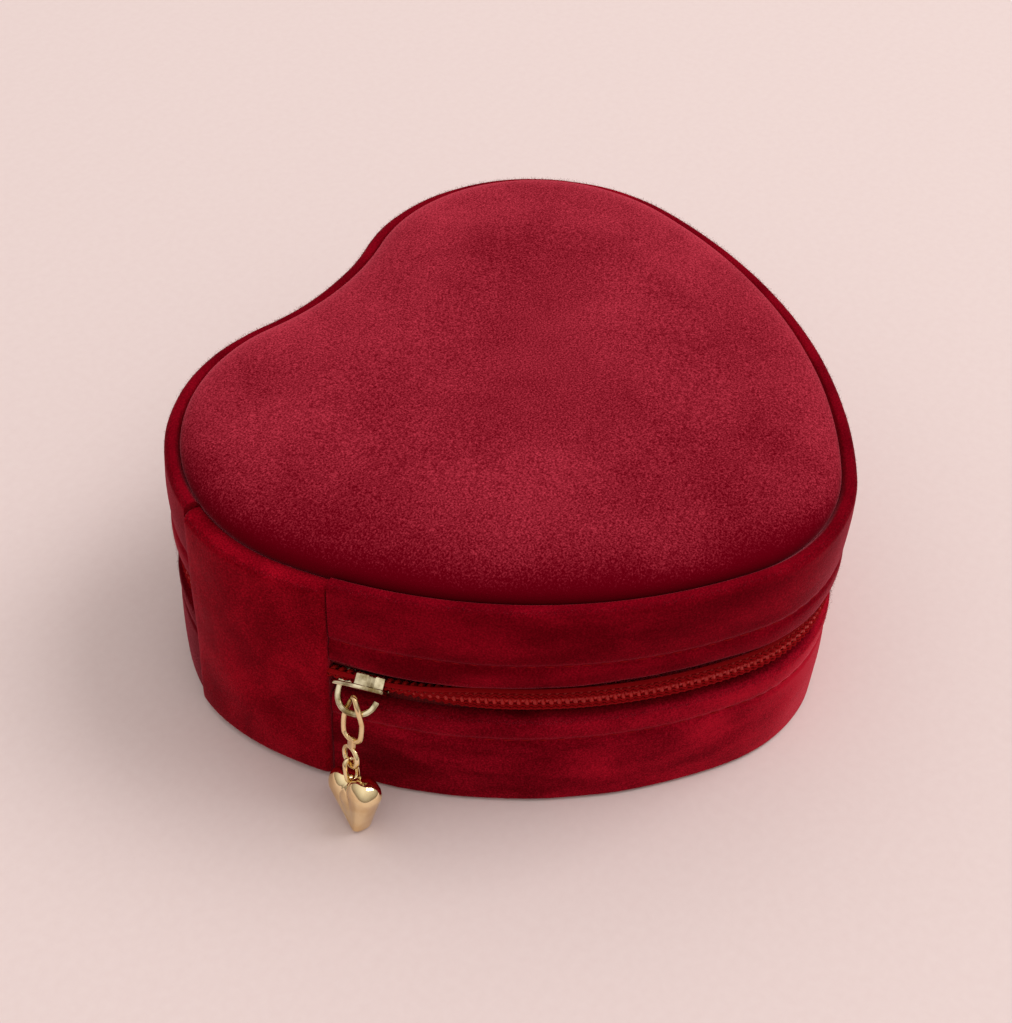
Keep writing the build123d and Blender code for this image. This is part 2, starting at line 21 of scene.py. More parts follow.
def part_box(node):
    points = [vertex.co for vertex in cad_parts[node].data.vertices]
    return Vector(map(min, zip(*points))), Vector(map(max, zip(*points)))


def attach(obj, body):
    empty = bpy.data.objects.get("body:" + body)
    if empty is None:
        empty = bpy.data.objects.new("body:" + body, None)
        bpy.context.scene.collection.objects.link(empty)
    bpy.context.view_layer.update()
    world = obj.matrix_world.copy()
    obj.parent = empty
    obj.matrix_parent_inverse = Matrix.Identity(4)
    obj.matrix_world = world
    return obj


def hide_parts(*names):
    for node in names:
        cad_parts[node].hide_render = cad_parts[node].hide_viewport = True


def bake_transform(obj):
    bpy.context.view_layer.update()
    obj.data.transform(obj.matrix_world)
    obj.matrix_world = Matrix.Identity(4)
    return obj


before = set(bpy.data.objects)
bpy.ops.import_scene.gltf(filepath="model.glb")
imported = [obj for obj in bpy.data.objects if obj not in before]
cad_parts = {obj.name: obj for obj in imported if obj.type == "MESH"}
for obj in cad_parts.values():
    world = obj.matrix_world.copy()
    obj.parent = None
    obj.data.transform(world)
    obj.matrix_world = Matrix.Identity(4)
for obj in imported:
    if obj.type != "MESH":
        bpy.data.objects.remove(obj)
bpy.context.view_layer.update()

MM = 0.001
# One turn of Blender's wave bands at scale 1, in texture units
WAVE_LENGTH = math.tau / 20
Array = np.ndarray
Piece = bpy.types.Object
Tree = bpy.types.NodeTree
Node = bpy.types.Node
Socket = bpy.types.NodeSocket
Shell = tuple[Array, list[tuple[int, ...]]]
Span = tuple[float, float]
Triple = tuple[float, float, float]
# Span in which most of a noise lies
NOISE_SPAN: Span = (0.3, 0.7)
log = logging.getLogger("heart_case")


def smooth_step(share: Array | float) -> Array:
    """Eases a share from 0 to 1."""
    share = np.clip(share, 0.0, 1.0)
    return share * share * (3.0 - 2.0 * share)


def unit(vectors: Array) -> Array:
    """Scales vectors, one row each, to length 1."""
    return vectors / np.linalg.norm(vectors, axis=-1, keepdims=True)


def waver(points: Array, size: float, amount: float, seed: float = 0.0) -> Array:
    """Small unevenness of cloth that was laid by hand.

    Args:
        points: Places on the cloth, one row each.
        size: Length over which the cloth wavers.
        amount: Greatest offset.
        seed: Shift that makes one piece differ from the next.

    Returns:
        An offset for each point.
    """
    shift = Vector((seed, seed, seed))
    return amount * np.array([noise.noise(Vector(point) / size + shift) for point in points])


def rounded(corners: Sequence[Triple], steps: int = 5) -> Array:
    """Rounds the corners of a closed outline.

    Args:
        corners: Two coordinates and a radius for each corner, in order.
        steps: Stretches that each rounding is divided into.

    Returns:
        Points of the rounded outline, one row each.
    """
    points = []
    spots = np.array([corner[:2] for corner in corners])
    for index, (_, _, radius) in enumerate(corners):
        here = spots[index]
        if radius <= 0:
            points.append(here)
            continue
        before = unit(spots[index - 1] - here)
        after = unit(spots[(index + 1) % len(spots)] - here)
        half = math.acos(np.clip(before @ after, -1.0, 1.0)) / 2
        centre = here + unit(before + after) * radius / math.sin(half)
        start = here + before * radius / math.tan(half) - centre
        end = here + after * radius / math.tan(half) - centre
        first = math.atan2(start[1], start[0])
        turn = math.remainder(math.atan2(end[1], end[0]) - first, math.tau)
        for angle in first + turn * np.linspace(0, 1, steps + 1):
            points.append(centre + radius * np.array((math.cos(angle), math.sin(angle))))
    return np.array(points)


def divided(outline: Array, spacing: float) -> Array:
    """Divides the sides of a closed outline so that no step is longer than a spacing.

    Args:
        outline: Corners of the outline, one row each.
        spacing: Longest step.

    Returns:
        The corners with the added points between them.
    """
    runs = []
    for start, end in zip(outline, np.roll(outline, -1, axis=0)):
        parts = max(1, math.ceil(np.linalg.norm(end - start) / spacing))
        runs.append(start + (end - start) * np.arange(parts)[:, None] / parts)
    return np.concatenate(runs)


def bowed(turns: Array, power: float) -> tuple[Array, Array]:
    """Points of a round whose sides are flattened.

    Args:
        turns: Angles of the points.
        power: Power of cosine and sine: 1 gives a circle, less gives flatter sides.

    Returns:
        Both coordinates of each point.
    """
    x, y = (np.sign(part) * np.abs(part) ** power for part in (np.cos(turns), np.sin(turns)))
    return x, y


def skin(rows: Array, loop: bool = False) -> Shell:
    """Joins rows of points, each a closed section, into a closed shell.

    Args:
        rows: Sections by row, point and coordinate.
        loop: Whether the last section joins the first. Otherwise both ends are capped.

    Returns:
        Vertices and faces.
    """
    count, width = rows.shape[:2]
    faces = []
    for row in range(count if loop else count - 1):
        here, there = row * width, (row + 1) % count * width
        for column in range(width):
            beside = (column + 1) % width
            faces.append((here + column, here + beside, there + beside, there + column))
    if not loop:
        faces.append(tuple(reversed(range(width))))
        faces.append(tuple(range((count - 1) * width, count * width)))
    return rows.reshape(-1, 3), faces


def merged(shells: Iterable[Shell]) -> Shell:
    """Puts several shells into one."""
    vertices, faces, count = [], [], 0
    for points, sides in shells:
        vertices.append(points)
        faces.extend(tuple(index + count for index in side) for side in sides)
        count += len(points)
    return np.concatenate(vertices), faces


def moved(shell: Shell, place: Matrix) -> Shell:
    """Carries a shell from its own frame to its place."""
    matrix = np.array(place)
    return shell[0] @ matrix[:3, :3].T + matrix[:3, 3], shell[1]


def tube(path: Array, radius: float | Array, sides: int = 8, loop: bool = False) -> Shell:
    """Sweeps a round section along a path.

    Args:
        path: Points of the wire's middle, one row each.
        radius: Radius of the wire, or one for each point.
        sides: Sides of the section.
        loop: Whether the path closes on itself.

    Returns:
        Vertices and faces.
    """
    ahead = np.roll(path, -1, axis=0) - np.roll(path, 1, axis=0) if loop else np.gradient(path, axis=0)
    ahead = unit(ahead)
    across = np.empty_like(path)
    carried = np.eye(3)[np.argmin(np.abs(ahead[0]))]
    for index, direction in enumerate(ahead):
        carried = unit(carried - direction * (carried @ direction))
        across[index] = carried
    beside = np.cross(ahead, across)
    twist = 0.0
    if loop:
        final = unit(carried - ahead[0] * (carried @ ahead[0]))
        twist = math.atan2(final @ beside[0], final @ across[0])
    turns = np.linspace(0, math.tau, sides, endpoint=False)
    turns = turns[None, :] - twist * (np.arange(len(path)) / len(path))[:, None]
    reach = np.broadcast_to(radius, len(path))[:, None, None]
    ring = np.cos(turns)[..., None] * across[:, None] + np.sin(turns)[..., None] * beside[:, None]
    return skin(path[:, None] + reach * ring, loop)


def slab(outline: Array, low: float, high: float, bevel: float, steps: int = 3) -> Shell:
    """Plate of a counter-clockwise outline with rounded edges.

    Args:
        outline: Points of the outline in X and Y, one row each.
        low: Height of the plate's underside.
        high: Height of its upper side.
        bevel: Radius of its edges.
        steps: Stretches that each rounding is divided into.

    Returns:
        Vertices and faces.
    """
    edge = np.roll(outline, -1, axis=0) - np.roll(outline, 1, axis=0)
    outward = unit(np.stack([edge[:, 1], -edge[:, 0]], axis=-1))
    turns = np.linspace(0, math.pi / 2, steps + 1)
    levels = [(bevel * (1 - math.sin(turn)), low + bevel * (1 - math.cos(turn))) for turn in turns]
    levels += [(inset, low + high - z) for inset, z in reversed(levels)]
    rows = [np.column_stack([outline - outward * inset, np.full(len(outline), z)]) for inset, z in levels]
    return skin(np.array(rows))


def linear(colour: str) -> tuple[float, float, float, float]:
    """Turns an sRGB hex value into linear red, green, blue and alpha."""
    shares = [int(colour[start : start + 2], 16) / 255 for start in (1, 3, 5)]
    return (*[s / 12.92 if s <= 0.04045 else ((s + 0.055) / 1.055) ** 2.4 for s in shares], 1.0)


def set_inputs(tree: Tree, node: Node, inputs: dict[str | int, Any]) -> None:
    """Sets or links a node's inputs.

    Args:
        tree: Tree that holds the node.
        node: Node to set.
        inputs: A value, or an output socket to link, by the input's name or number.
    """
    for key, value in inputs.items():
        if isinstance(value, Socket):
            tree.links.new(value, node.inputs[key])
        else:
            node.inputs[key].default_value = value


def add_node(tree: Tree, kind: str, inputs: dict[str | int, Any] | None = None, **settings: Any) -> Node:
    """Adds a node with its settings and links.

    Args:
        tree: Tree that gets the node.
        kind: Blender's name of the node's type.
        inputs: A value, or an output socket to link, by the input's name or number.
        settings: The node's own options by name.

    Returns:
        The new node.
    """
    node = tree.nodes.new(kind)
    for option, value in settings.items():
        setattr(node, option, value)
    set_inputs(tree, node, inputs or {})
    return node


def place_in(tree: Tree) -> Socket:
    """Place on the object, in metres."""
    return add_node(tree, "ShaderNodeTexCoord").outputs["Object"]


def noise_in(tree: Tree, place: Socket, size: float, **inputs: float) -> Socket:
    """Noise with spots of about one size.

    Args:
        tree: Tree that gets the node.
        place: Where the noise is read.
        size: Size of its spots.
        inputs: The node's other inputs by name.

    Returns:
        The noise, from 0 to 1.
    """
    return add_node(tree, "ShaderNodeTexNoise", {"Vector": place, "Scale": 1 / size, **inputs}).outputs["Fac"]


def spread(tree: Tree, value: Socket, source: Span, target: Span = (0.0, 1.0)) -> Socket:
    """Maps a value from one span to another.

    Args:
        tree: Tree that gets the node.
        value: Value to map.
        source: Ends of the span that it comes from. What lies beyond them is cut off.
        target: Ends of the span that it goes to.

    Returns:
        The mapped value.
    """
    names = ("From Min", "From Max", "To Min", "To Max")
    ends = dict(zip(names, (*source, *target)))
    return add_node(tree, "ShaderNodeMapRange", {"Value": value, **ends}).outputs[0]


def reckon(tree: Tree, operation: str, *values: Any, clamp: bool = False) -> Socket:
    """Gives the result of one operation on numbers or sockets."""
    node = add_node(tree, "ShaderNodeMath", dict(enumerate(values)), operation=operation, use_clamp=clamp)
    return node.outputs[0]


def tinted(tree: Tree, share: Socket, low: str, high: str) -> Socket:
    """Mixes two tones, given as sRGB hex values, by a share."""
    tones = {0: share, 6: linear(low), 7: linear(high)}
    return add_node(tree, "ShaderNodeMix", tones, data_type="RGBA").outputs[2]


def relief(tree: Tree, height: Socket, strength: float, depth: float) -> Socket:
    """Normal of a surface that is raised by a height."""
    inputs = {"Strength": strength, "Distance": depth, "Height": height}
    return add_node(tree, "ShaderNodeBump", inputs).outputs[0]


@dataclass(frozen=True)
class Finish:
    """A surface by its real material. Each kind of material wires its own nodes."""

    name: str

    def material(self) -> bpy.types.Material:
        """Gives the Blender material, which is made on its first use."""
        found = bpy.data.materials.get(self.name)
        if found is None:
            found = bpy.data.materials.new(self.name)
            found.use_nodes = True
            self.wire(found.node_tree, found.node_tree.nodes["Principled BSDF"])
        return found

    def wire(self, tree: Tree, shader: Node) -> None:
        """Adds the nodes that give the surface its look."""
        raise NotImplementedError


@dataclass(frozen=True)
class PileVelvet(Finish):
    """Polyester velvet with a short cut pile, brushed by handling.

    Clumps of pile give a fine speckle, brushed patches lie lighter or darker, and the upright
    fibres catch light at a grazing angle. The stroke sets how much finer the patches are along each
    axis. Painted light and shade by slope: slopes that face one way are painted lighter and those
    that face the other way darker, standing in for how light and sheen fall on them. Clumps of
    0.25 mm are drawn at 0.3 mm to show.
    """

    pile: str = "#C0384A"
    shade: str = "#62000F"
    clump: float = 0.3 * MM
    patch: float = 18 * MM
    stroke: Triple = (1.0, 1.0, 1.0)
    speckle: float = 1.0
    brushed: float = 0.22
    sparseness: float = 1.6
    # Painted light and shade by slope: its strength, and the way that slopes painted lighter face
    painted_slope_light: float = 0.0
    painted_light_way: Triple = (0.84, 0.53, 0.0)
    sheen: float = 0.5
    sheen_tint: str = "#FF8090"
    sheen_roughness: float = 0.28
    bump: float = 0.6
    depth: float = 0.12 * MM

    def wire(self, tree: Tree, shader: Node) -> None:
        """Mixes two tones of dye by clump and by brushed patch, and paints light and shade by slope, over a
        low bump.
        """
        spot = add_node(tree, "ShaderNodeTexCoord")
        place = spot.outputs["Object"]
        clumps = noise_in(tree, place, self.clump, Detail=3.0, Roughness=0.7)
        stroked = add_node(tree, "ShaderNodeMapping", {"Vector": place, "Scale": self.stroke}).outputs[0]
        patches = noise_in(tree, stroked, self.patch, Detail=3.0, Distortion=0.4)
        shares = [
            spread(tree, source, NOISE_SPAN, (-amount / 2, amount / 2))
            for source, amount in ((clumps, self.speckle), (patches, self.brushed))
        ]
        # Painted light and shade: slopes that face the given way are painted lighter, the others darker
        ways = {0: spot.outputs["Normal"], 1: self.painted_light_way}
        lean = add_node(tree, "ShaderNodeVectorMath", ways, operation="DOT_PRODUCT").outputs["Value"]
        painted_slope_lift = reckon(tree, "MULTIPLY_ADD", lean, self.painted_slope_light, 0.5)
        lift = reckon(tree, "ADD", reckon(tree, "ADD", *shares), painted_slope_lift, clamp=True)
        tips = reckon(tree, "POWER", lift, self.sparseness)
        look = {
            "Base Color": tinted(tree, tips, self.shade, self.pile),
            "Roughness": 1.0,
            "Specular IOR Level": 0.0,
            "Sheen Weight": self.sheen,
            "Sheen Roughness": self.sheen_roughness,
            "Sheen Tint": linear(self.sheen_tint),
            "Normal": relief(tree, clumps, self.bump, self.depth),
        }
        set_inputs(tree, shader, look)


@dataclass(frozen=True)
class WovenTape(Finish):
    """Polyester zip tape woven in a close twill, matt with fine ribs along its length."""

    dye: str = "#86060C"
    shade: str = "#5C0208"
    rib: float = 0.5 * MM

    def wire(self, tree: Tree, shader: Node) -> None:
        """Crosses two sets of ribs for the warp and the weft."""
        cloth = add_node(tree, "ShaderNodeTexCoord").outputs["UV"]
        inputs = {"Vector": cloth, "Scale": WAVE_LENGTH / self.rib}
        ribs = [
            add_node(tree, "ShaderNodeTexWave", inputs, bands_direction=direction).outputs["Fac"]
            for direction in ("X", "Y")
        ]
        weave = reckon(tree, "MULTIPLY", *ribs)
        look = {
            "Base Color": tinted(tree, weave, self.shade, self.dye),
            "Roughness": 0.85,
            "Specular IOR Level": 0.3,
            "Normal": relief(tree, weave, 0.5, 0.1 * MM),
        }
        set_inputs(tree, shader, look)


@dataclass(frozen=True)
class ExtrudedNylon(Finish):
    """Dyed nylon monofilament, extruded smooth: a soft highlight along each turn of the coil."""

    dye: str = "#B81410"
    shade: str = "#980C0A"
    roughness: float = 0.5
    uneven: float = 2.0 * MM

    def wire(self, tree: Tree, shader: Node) -> None:
        """Varies the dye a little from turn to turn."""
        place = place_in(tree)
        tone = tinted(tree, noise_in(tree, place, self.uneven), self.shade, self.dye)
        set_inputs(tree, shader, {"Base Color": tone, "Roughness": self.roughness, "Specular IOR Level": 0.3})


@dataclass(frozen=True)
class SpunThread(Finish):
    """Spun polyester sewing thread: matt, with plies that show as a fine mottle."""

    dye: str = "#9E0E14"
    shade: str = "#7C060C"
    ply: float = 0.25 * MM

    def wire(self, tree: Tree, shader: Node) -> None:
        """Mottles the dye at the width of a ply."""
        place = place_in(tree)
        tone = tinted(tree, noise_in(tree, place, self.ply), self.shade, self.dye)
        set_inputs(tree, shader, {"Base Color": tone, "Roughness": 0.9, "Specular IOR Level": 0.05})


@dataclass(frozen=True)
class PlatedZinc(Finish):
    """Die-cast zinc, tumbled smooth and gold plated: mirror-like, with faint handling marks; a dark second
    tone paints dark reflections in patches.
    """

    plate: str = "#D8B483"
    wear_and_dark_reflection: str = "#C9A372"
    roughness: float = 0.14
    mark: float = 4.0 * MM
    mark_span: Span = (0.4, 0.6)

    def wire(self, tree: Tree, shader: Node) -> None:
        """Lets handling marks dull and tint the plate in patches of a few millimetres; a dark tint paints
        dark reflections there.
        """
        place = place_in(tree)
        marks = noise_in(tree, place, self.mark, Detail=4.0)
        tone = tinted(tree, spread(tree, marks, self.mark_span), self.wear_and_dark_reflection, self.plate)
        dulled = spread(tree, marks, (0.0, 1.0), (self.roughness * 1.5, self.roughness * 0.5))
        set_inputs(tree, shader, {"Base Color": tone, "Metallic": 1.0, "Roughness": dulled})


@dataclass(frozen=True)
class PressedGreyboard(Finish):
    """Board pressed from waste paper: matt grey-brown with flecks of fibre."""

    pulp: str = "#A89F92"
    fleck: str = "#7F766A"
    fibre: float = 1.25 * MM

    def wire(self, tree: Tree, shader: Node) -> None:
        """Scatters flecks about a millimetre long."""
        place = place_in(tree)
        fibres = noise_in(tree, place, self.fibre, Detail=5.0)
        tone = tinted(tree, fibres, self.fleck, self.pulp)
        normal = relief(tree, fibres, 0.3, 0.1 * MM)
        set_inputs(tree, shader, {"Base Color": tone, "Roughness": 0.9, "Normal": normal})


@dataclass(frozen=True)
class SilveredGlass(Finish):
    """Float glass silvered on its back: a clear reflection with a faint bloom of finger marks."""

    silver: str = "#E4E8E8"
    bloom: float = 10 * MM
    clouding: Span = (0.01, 0.06)

    def wire(self, tree: Tree, shader: Node) -> None:
        """Clouds the reflection slightly in patches of a centimetre."""
        place = place_in(tree)
        clouded = spread(tree, noise_in(tree, place, self.bloom, Detail=4.0), (0.5, 0.8), self.clouding)
        set_inputs(tree, shader, {"Base Color": linear(self.silver), "Metallic": 1.0, "Roughness": clouded})


@dataclass(frozen=True)
class UncoatedPaper(Finish):
    """Uncoated card with a fine tooth, which scatters light evenly."""

    tone: str = "#E9D7D4"
    tooth_tone: str = "#E3CFCC"
    tooth: float = 0.8 * MM

    def wire(self, tree: Tree, shader: Node) -> None:
        """Mottles the tone by the card's tooth."""
        place = place_in(tree)
        grain = noise_in(tree, place, 2 * self.tooth, Detail=4.0)
        look = {
            "Base Color": tinted(tree, grain, self.tooth_tone, self.tone),
            "Roughness": 0.9,
            "Specular IOR Level": 0.2,
            "Normal": relief(tree, grain, 0.15, 0.1 * MM),
        }
        set_inputs(tree, shader, look)


# One velvet in lit and shaded copies, whose pile also lies differently: the top's tones are painted lighter
# and pinker, its pale flecks partly painted glints of lit fibre tips, its front slopes painted darker; the
# sides' tones are painted darker as shade; the hinge panel's a little lighter, as lit.
LIT_TOP_VELVET = PileVelvet("polyester_velvet_top", painted_slope_light=0.95)
SHADED_SIDE_VELVET = PileVelvet(
    "polyester_velvet_sides",
    "#980A1E",
    "#56000A",
    patch=9 * MM,
    stroke=(0.6, 0.6, 1.5),
    speckle=0.75,
    brushed=0.55,
)
# Painted light: the base band's copy has a lighter pile tone and is painted lighter on the right and darker
# on the left, as the light falls from the right.
BASE_VELVET_LIT_RIGHT = replace(
    SHADED_SIDE_VELVET, name="polyester_velvet_base", pile="#B01228", painted_slope_light=0.6, painted_light_way=(0.53, -0.84, 0.0)
)
LIT_HINGE_VELVET = PileVelvet(
    "polyester_velvet_hinge",
    "#AC0E22",
    "#5E000A",
    patch=8 * MM,
    stroke=(1.0, 1.0, 0.7),
    speckle=0.85,
    brushed=0.45,
)
LINING_VELVET = PileVelvet(
    "flocked_velvet_lining", "#8E1424", "#640812", clump=0.6 * MM, sheen=0.2, sheen_tint="#D0283C"
)
ZIP_TAPE = WovenTape("woven_polyester_tape")
ZIP_NYLON = ExtrudedNylon("extruded_nylon_coil")
RED_THREAD = SpunThread("spun_polyester_thread")
# The slider's dark second tone paints dark reflections in patches; the pull's pale one is a faint handling
# mottle.
SLIDER_GOLD = PlatedZinc(
    "pale_gold_plated_zinc", plate="#E9DCB8", wear_and_dark_reflection="#86734A", roughness=0.1, mark=2.5 * MM
)
PULL_GOLD = PlatedZinc("warm_gold_plated_zinc", plate="#F2DCAC", wear_and_dark_reflection="#E6C893", roughness=0.1)
GREYBOARD = PressedGreyboard("pressed_greyboard")
MIRROR_GLASS = SilveredGlass("silvered_float_glass")
PALE_CARD = UncoatedPaper("uncoated_pale_card")

# Where the lid's lip sags beside the slider and rises further on: place along, reach and lift
LID_SAGS = ((32 * MM, 14 * MM, -0.7 * MM), (70 * MM, 10 * MM, 0.45 * MM))
# A place where the pile is pressed flat, how far round it that reaches, and how deep
Knock = tuple[Triple, float, float]
# Where the charm's back meets the base when the pull swings in
CHARM_KNOCK: Knock = ((-53.1 * MM, -0.2 * MM, 5.7 * MM), 5.0 * MM, 0.7 * MM)


class Half(Enum):
    """The halves that the zip parts, each by the way from the zip to its far edge."""

    BASE = -1
    LID = 1

    @property
    def body(self) -> str:
        """Name of the half's body."""
        return self.name.lower()

    @property
    def tier(self) -> str:
        """Word for the half's side of the zip in the names of its solids."""
        return "lower" if self is Half.BASE else "upper"


def make_piece(name: str, shell: Shell, finish: Finish, sharp: float = 42.0) -> Piece:
    """Makes an object of a shell.

    Args:
        name: Name of the piece.
        shell: Its vertices and faces.
        finish: Its surface.
        sharp: Angle between faces, in degrees, above which an edge looks sharp.

    Returns:
        The new object.
    """
    mesh = bpy.data.meshes.new(name)
    mesh.from_pydata([tuple(point) for point in shell[0]], [], shell[1])
    faired = bmesh.new()
    faired.from_mesh(mesh)
    bmesh.ops.recalc_face_normals(faired, faces=faired.faces)
    faired.to_mesh(mesh)
    faired.free()
    mesh.shade_smooth()
    mesh.set_sharp_from_angle(angle=math.radians(sharp))
    mesh.materials.append(finish.material())
    piece = bpy.data.objects.new(name, mesh)
    bpy.context.scene.collection.objects.link(piece)
    return piece


def seat(piece: Piece, body: str, slot: str, *nodes: str) -> Piece:
    """Rides a piece on its body.

    Args:
        piece: Piece in its place.
        body: Body that it moves with.
        slot: Material slot of its finish; not used.
        nodes: Solids that it stands for.

    Returns:
        The piece.
    """
    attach(piece, body)
    if nodes:
        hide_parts(*nodes)
    log.info("%s rides on %s", piece.name, body)
    return piece


@dataclass(frozen=True)
class Swelling:
    """How a padded cover swells over its filling."""

    pressure: float = 4.0
    frames: int = 20
    most: float = 1.2 * MM
    evening: int = 14

    def apply(self, piece: Piece, held: Sequence[int]) -> None:
        """Swells a closed cover by a cloth simulation and keeps its result.

        Args:
            piece: Cover, a closed mesh.
            held: Indices of the vertices that are glued down.
        """
        group = piece.vertex_groups.new(name="glued")
        group.add(list(held), 1.0, "REPLACE")
        cloth = piece.modifiers.new("swell", "CLOTH")
        cloth.settings.vertex_group_mass = group.name
        cloth.settings.use_pressure = True
        cloth.settings.uniform_pressure_force = self.pressure
        cloth.settings.effector_weights.gravity = 0.0
        cloth.collision_settings.use_collision = False
        for number in range(1, self.frames + 1):
            bpy.context.scene.frame_set(number)
        swollen = piece.evaluated_get(bpy.context.evaluated_depsgraph_get())
        after = np.array([vertex.co for vertex in swollen.data.vertices])
        before = np.array([vertex.co for vertex in piece.data.vertices])
        shift = after - before
        length = np.linalg.norm(shift, axis=1, keepdims=True)
        shift *= np.minimum(1.0, self.most / np.maximum(length, 1e-9))
        edges = np.array([edge.vertices for edge in piece.data.edges])
        shift = self.evened(shift, np.concatenate([edges, edges[:, ::-1]]), held)
        piece.modifiers.remove(cloth)
        piece.vertex_groups.remove(group)
        bpy.context.scene.frame_set(1)
        piece.data.vertices.foreach_set("co", (before + shift).astype(np.float32).ravel())
        piece.data.update()
        log.info("%s swells by up to %.2f mm", piece.name, length.max() / MM)

    def evened(self, shift: Array, edges: Array, held: Sequence[int]) -> Array:
        """Eases the wrinkles out of a swelling, as the foam behind the cover does.

        Args:
            shift: Way that each vertex has moved.
            edges: Pairs of neighbours, both ways round.
            held: Indices of the vertices that are glued down.

        Returns:
            The eased shift.
        """
        count = np.bincount(edges[:, 0], minlength=len(shift))[:, None]
        for _ in range(self.evening):
            total = np.zeros_like(shift)
            np.add.at(total, edges[:, 0], shift[edges[:, 1]])
            shift = (shift + total / count) / 2
            shift[list(held)] = 0
        return shift


@dataclass(frozen=True)
class HeartCase:
    """Sizes that the sub-assemblies share: the heart's arcs, its layers and its levels."""

    lobe_offset: float = 24.0 * MM
    lobe_radius: float = 32.8 * MM
    tip_radius: float = 28.5 * MM
    side_radius: float = 85.3 * MM
    notch_radius: float = 49.5 * MM
    lobe_to_tip: float = 40.5 * MM
    velvet: float = 2.8 * MM
    board: float = 1.8 * MM
    lining: float = 0.8 * MM
    tape: float = 0.5 * MM
    tape_clearance: float = 0.06 * MM
    tape_tuck: float = 7.0 * MM
    panel_front: float = 14.4 * MM
    panel_rear: float = 13.0 * MM
    seam_gap: float = 0.2 * MM

    @cached_property
    def arcs(self) -> Array:
        """Centre, radius, start and signed sweep of each arc, counter-clockwise from the hinge point."""
        lobe_y = (self.lobe_to_tip + self.tip_radius - self.lobe_radius) / 2
        lobe = np.array((-self.lobe_offset, lobe_y))
        tip = np.array((0.0, lobe_y - self.lobe_to_tip))
        along = tip - lobe
        span = np.linalg.norm(along)
        to_lobe, to_tip = self.side_radius - self.lobe_radius, self.side_radius - self.tip_radius
        foot = (to_lobe**2 - to_tip**2 + span**2) / (2 * span)
        square = np.array((-along[1], along[0])) / span
        side = lobe + along / span * foot + square * math.sqrt(to_lobe**2 - foot**2)
        notch_y = lobe_y + math.sqrt((self.lobe_radius + self.notch_radius) ** 2 - self.lobe_offset**2)
        side_turn = math.atan2(lobe[1] - side[1], lobe[0] - side[0]) % math.tau
        tip_turn = math.atan2(tip[1] - side[1], tip[0] - side[0]) % math.tau
        notch_turn = math.atan2(notch_y - lobe_y, -self.lobe_offset)
        far_sweep = notch_turn - math.pi + side_turn
        return np.array(
            [
                (*lobe, self.lobe_radius, math.pi, side_turn - math.pi),
                (*side, self.side_radius, side_turn, tip_turn - side_turn),
                (*tip, self.tip_radius, tip_turn, 3 * math.pi - 2 * tip_turn),
                (-side[0], side[1], self.side_radius, 3 * math.pi - tip_turn, tip_turn - side_turn),
                (-lobe[0], lobe_y, self.lobe_radius, 3 * math.pi - side_turn, far_sweep),
                (0.0, notch_y, self.notch_radius, notch_turn - math.pi, math.pi - 2 * notch_turn),
                (*lobe, self.lobe_radius, math.pi - notch_turn, notch_turn),
            ]
        )

    @cached_property
    def length(self) -> float:
        """Length of the whole outline."""
        return float(np.sum(self.arcs[:, 2] * np.abs(self.arcs[:, 4])))

    def places(self, along: Array) -> tuple[Array, Array]:
        """Points of the outline and their outward normals.

        Args:
            along: Distances along the outline from the hinge point, which may be negative.

        Returns:
            Points and unit normals in X and Y, one row each.
        """
        lengths = self.arcs[:, 2] * np.abs(self.arcs[:, 4])
        ends = np.cumsum(lengths)
        along = np.mod(along, ends[-1])
        index = np.minimum(np.searchsorted(ends, along, side="right"), len(ends) - 1)
        x, y, radius, start, sweep = self.arcs[index].T
        angle = start + sweep * (along - (ends - lengths)[index]) / lengths[index]
        outward = np.column_stack([np.cos(angle), np.sin(angle)])
        points = np.column_stack([x, y]) + outward * radius[:, None]
        return points, outward * np.sign(sweep)[:, None]

    def ring(self, inset: float, spacing: float = 1.2 * MM) -> Array:
        """Whole outline at an inset, counter-clockwise, with a point about every spacing."""
        count = round(self.length / spacing)
        points, outward = self.places(self.length * np.arange(count) / count)
        return points - outward * inset

    def carry(self, along: Array, profiles: Array) -> Array:
        """Carries sections along the outline.

        Args:
            along: Place of each section.
            profiles: Outward distance and height of each point, by section and point.

        Returns:
            Rows of points for skin().
        """
        points, outward = self.places(along)
        plan = points[:, None] + outward[:, None] * profiles[..., :1]
        return np.concatenate([plan, profiles[..., 1:]], axis=-1)

    @property
    def tape_inset(self) -> float:
        """Inset of the tape's outer face in the wall."""
        return self.velvet - self.tape - self.tape_clearance

    @property
    def lining_inset(self) -> float:
        """Inset of the lining's outer face."""
        return self.velvet + self.board

    @property
    def room_inset(self) -> float:
        """Inset of the room inside the lining."""
        return self.lining_inset + self.lining

    @property
    def zip_start(self) -> float:
        """Place where the zip comes out from under the hinge panel."""
        return self.panel_front + self.seam_gap

    @property
    def zip_end(self) -> float:
        """Place where the zip goes back under the hinge panel."""
        return self.length - self.panel_rear - self.seam_gap

    def edge(self, half: Half) -> float:
        """Height of the velvet's zip edge on one half."""
        low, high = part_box(f"{half.body}_side_velvet")
        return high.z if half is Half.BASE else low.z

    def far_edge(self, half: Half) -> float:
        """Height of the velvet's other edge."""
        low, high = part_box(f"{half.body}_side_velvet")
        return low.z if half is Half.BASE else high.z

    @property
    def zip_z(self) -> float:
        """Height of the zip's middle."""
        return (self.edge(Half.BASE) + self.edge(Half.LID)) / 2

    def half_width(self, inset: float, y: Array) -> Array:
        """Half of the heart's width at an inset, for places between its lobes' middle and its tip."""
        ring = self.ring(inset)
        lower = ring[(ring[:, 0] > 0) & (ring[:, 1] < self.arcs[0, 1])]
        lower = lower[np.argsort(lower[:, 1])]
        return np.interp(y, lower[:, 1], lower[:, 0])


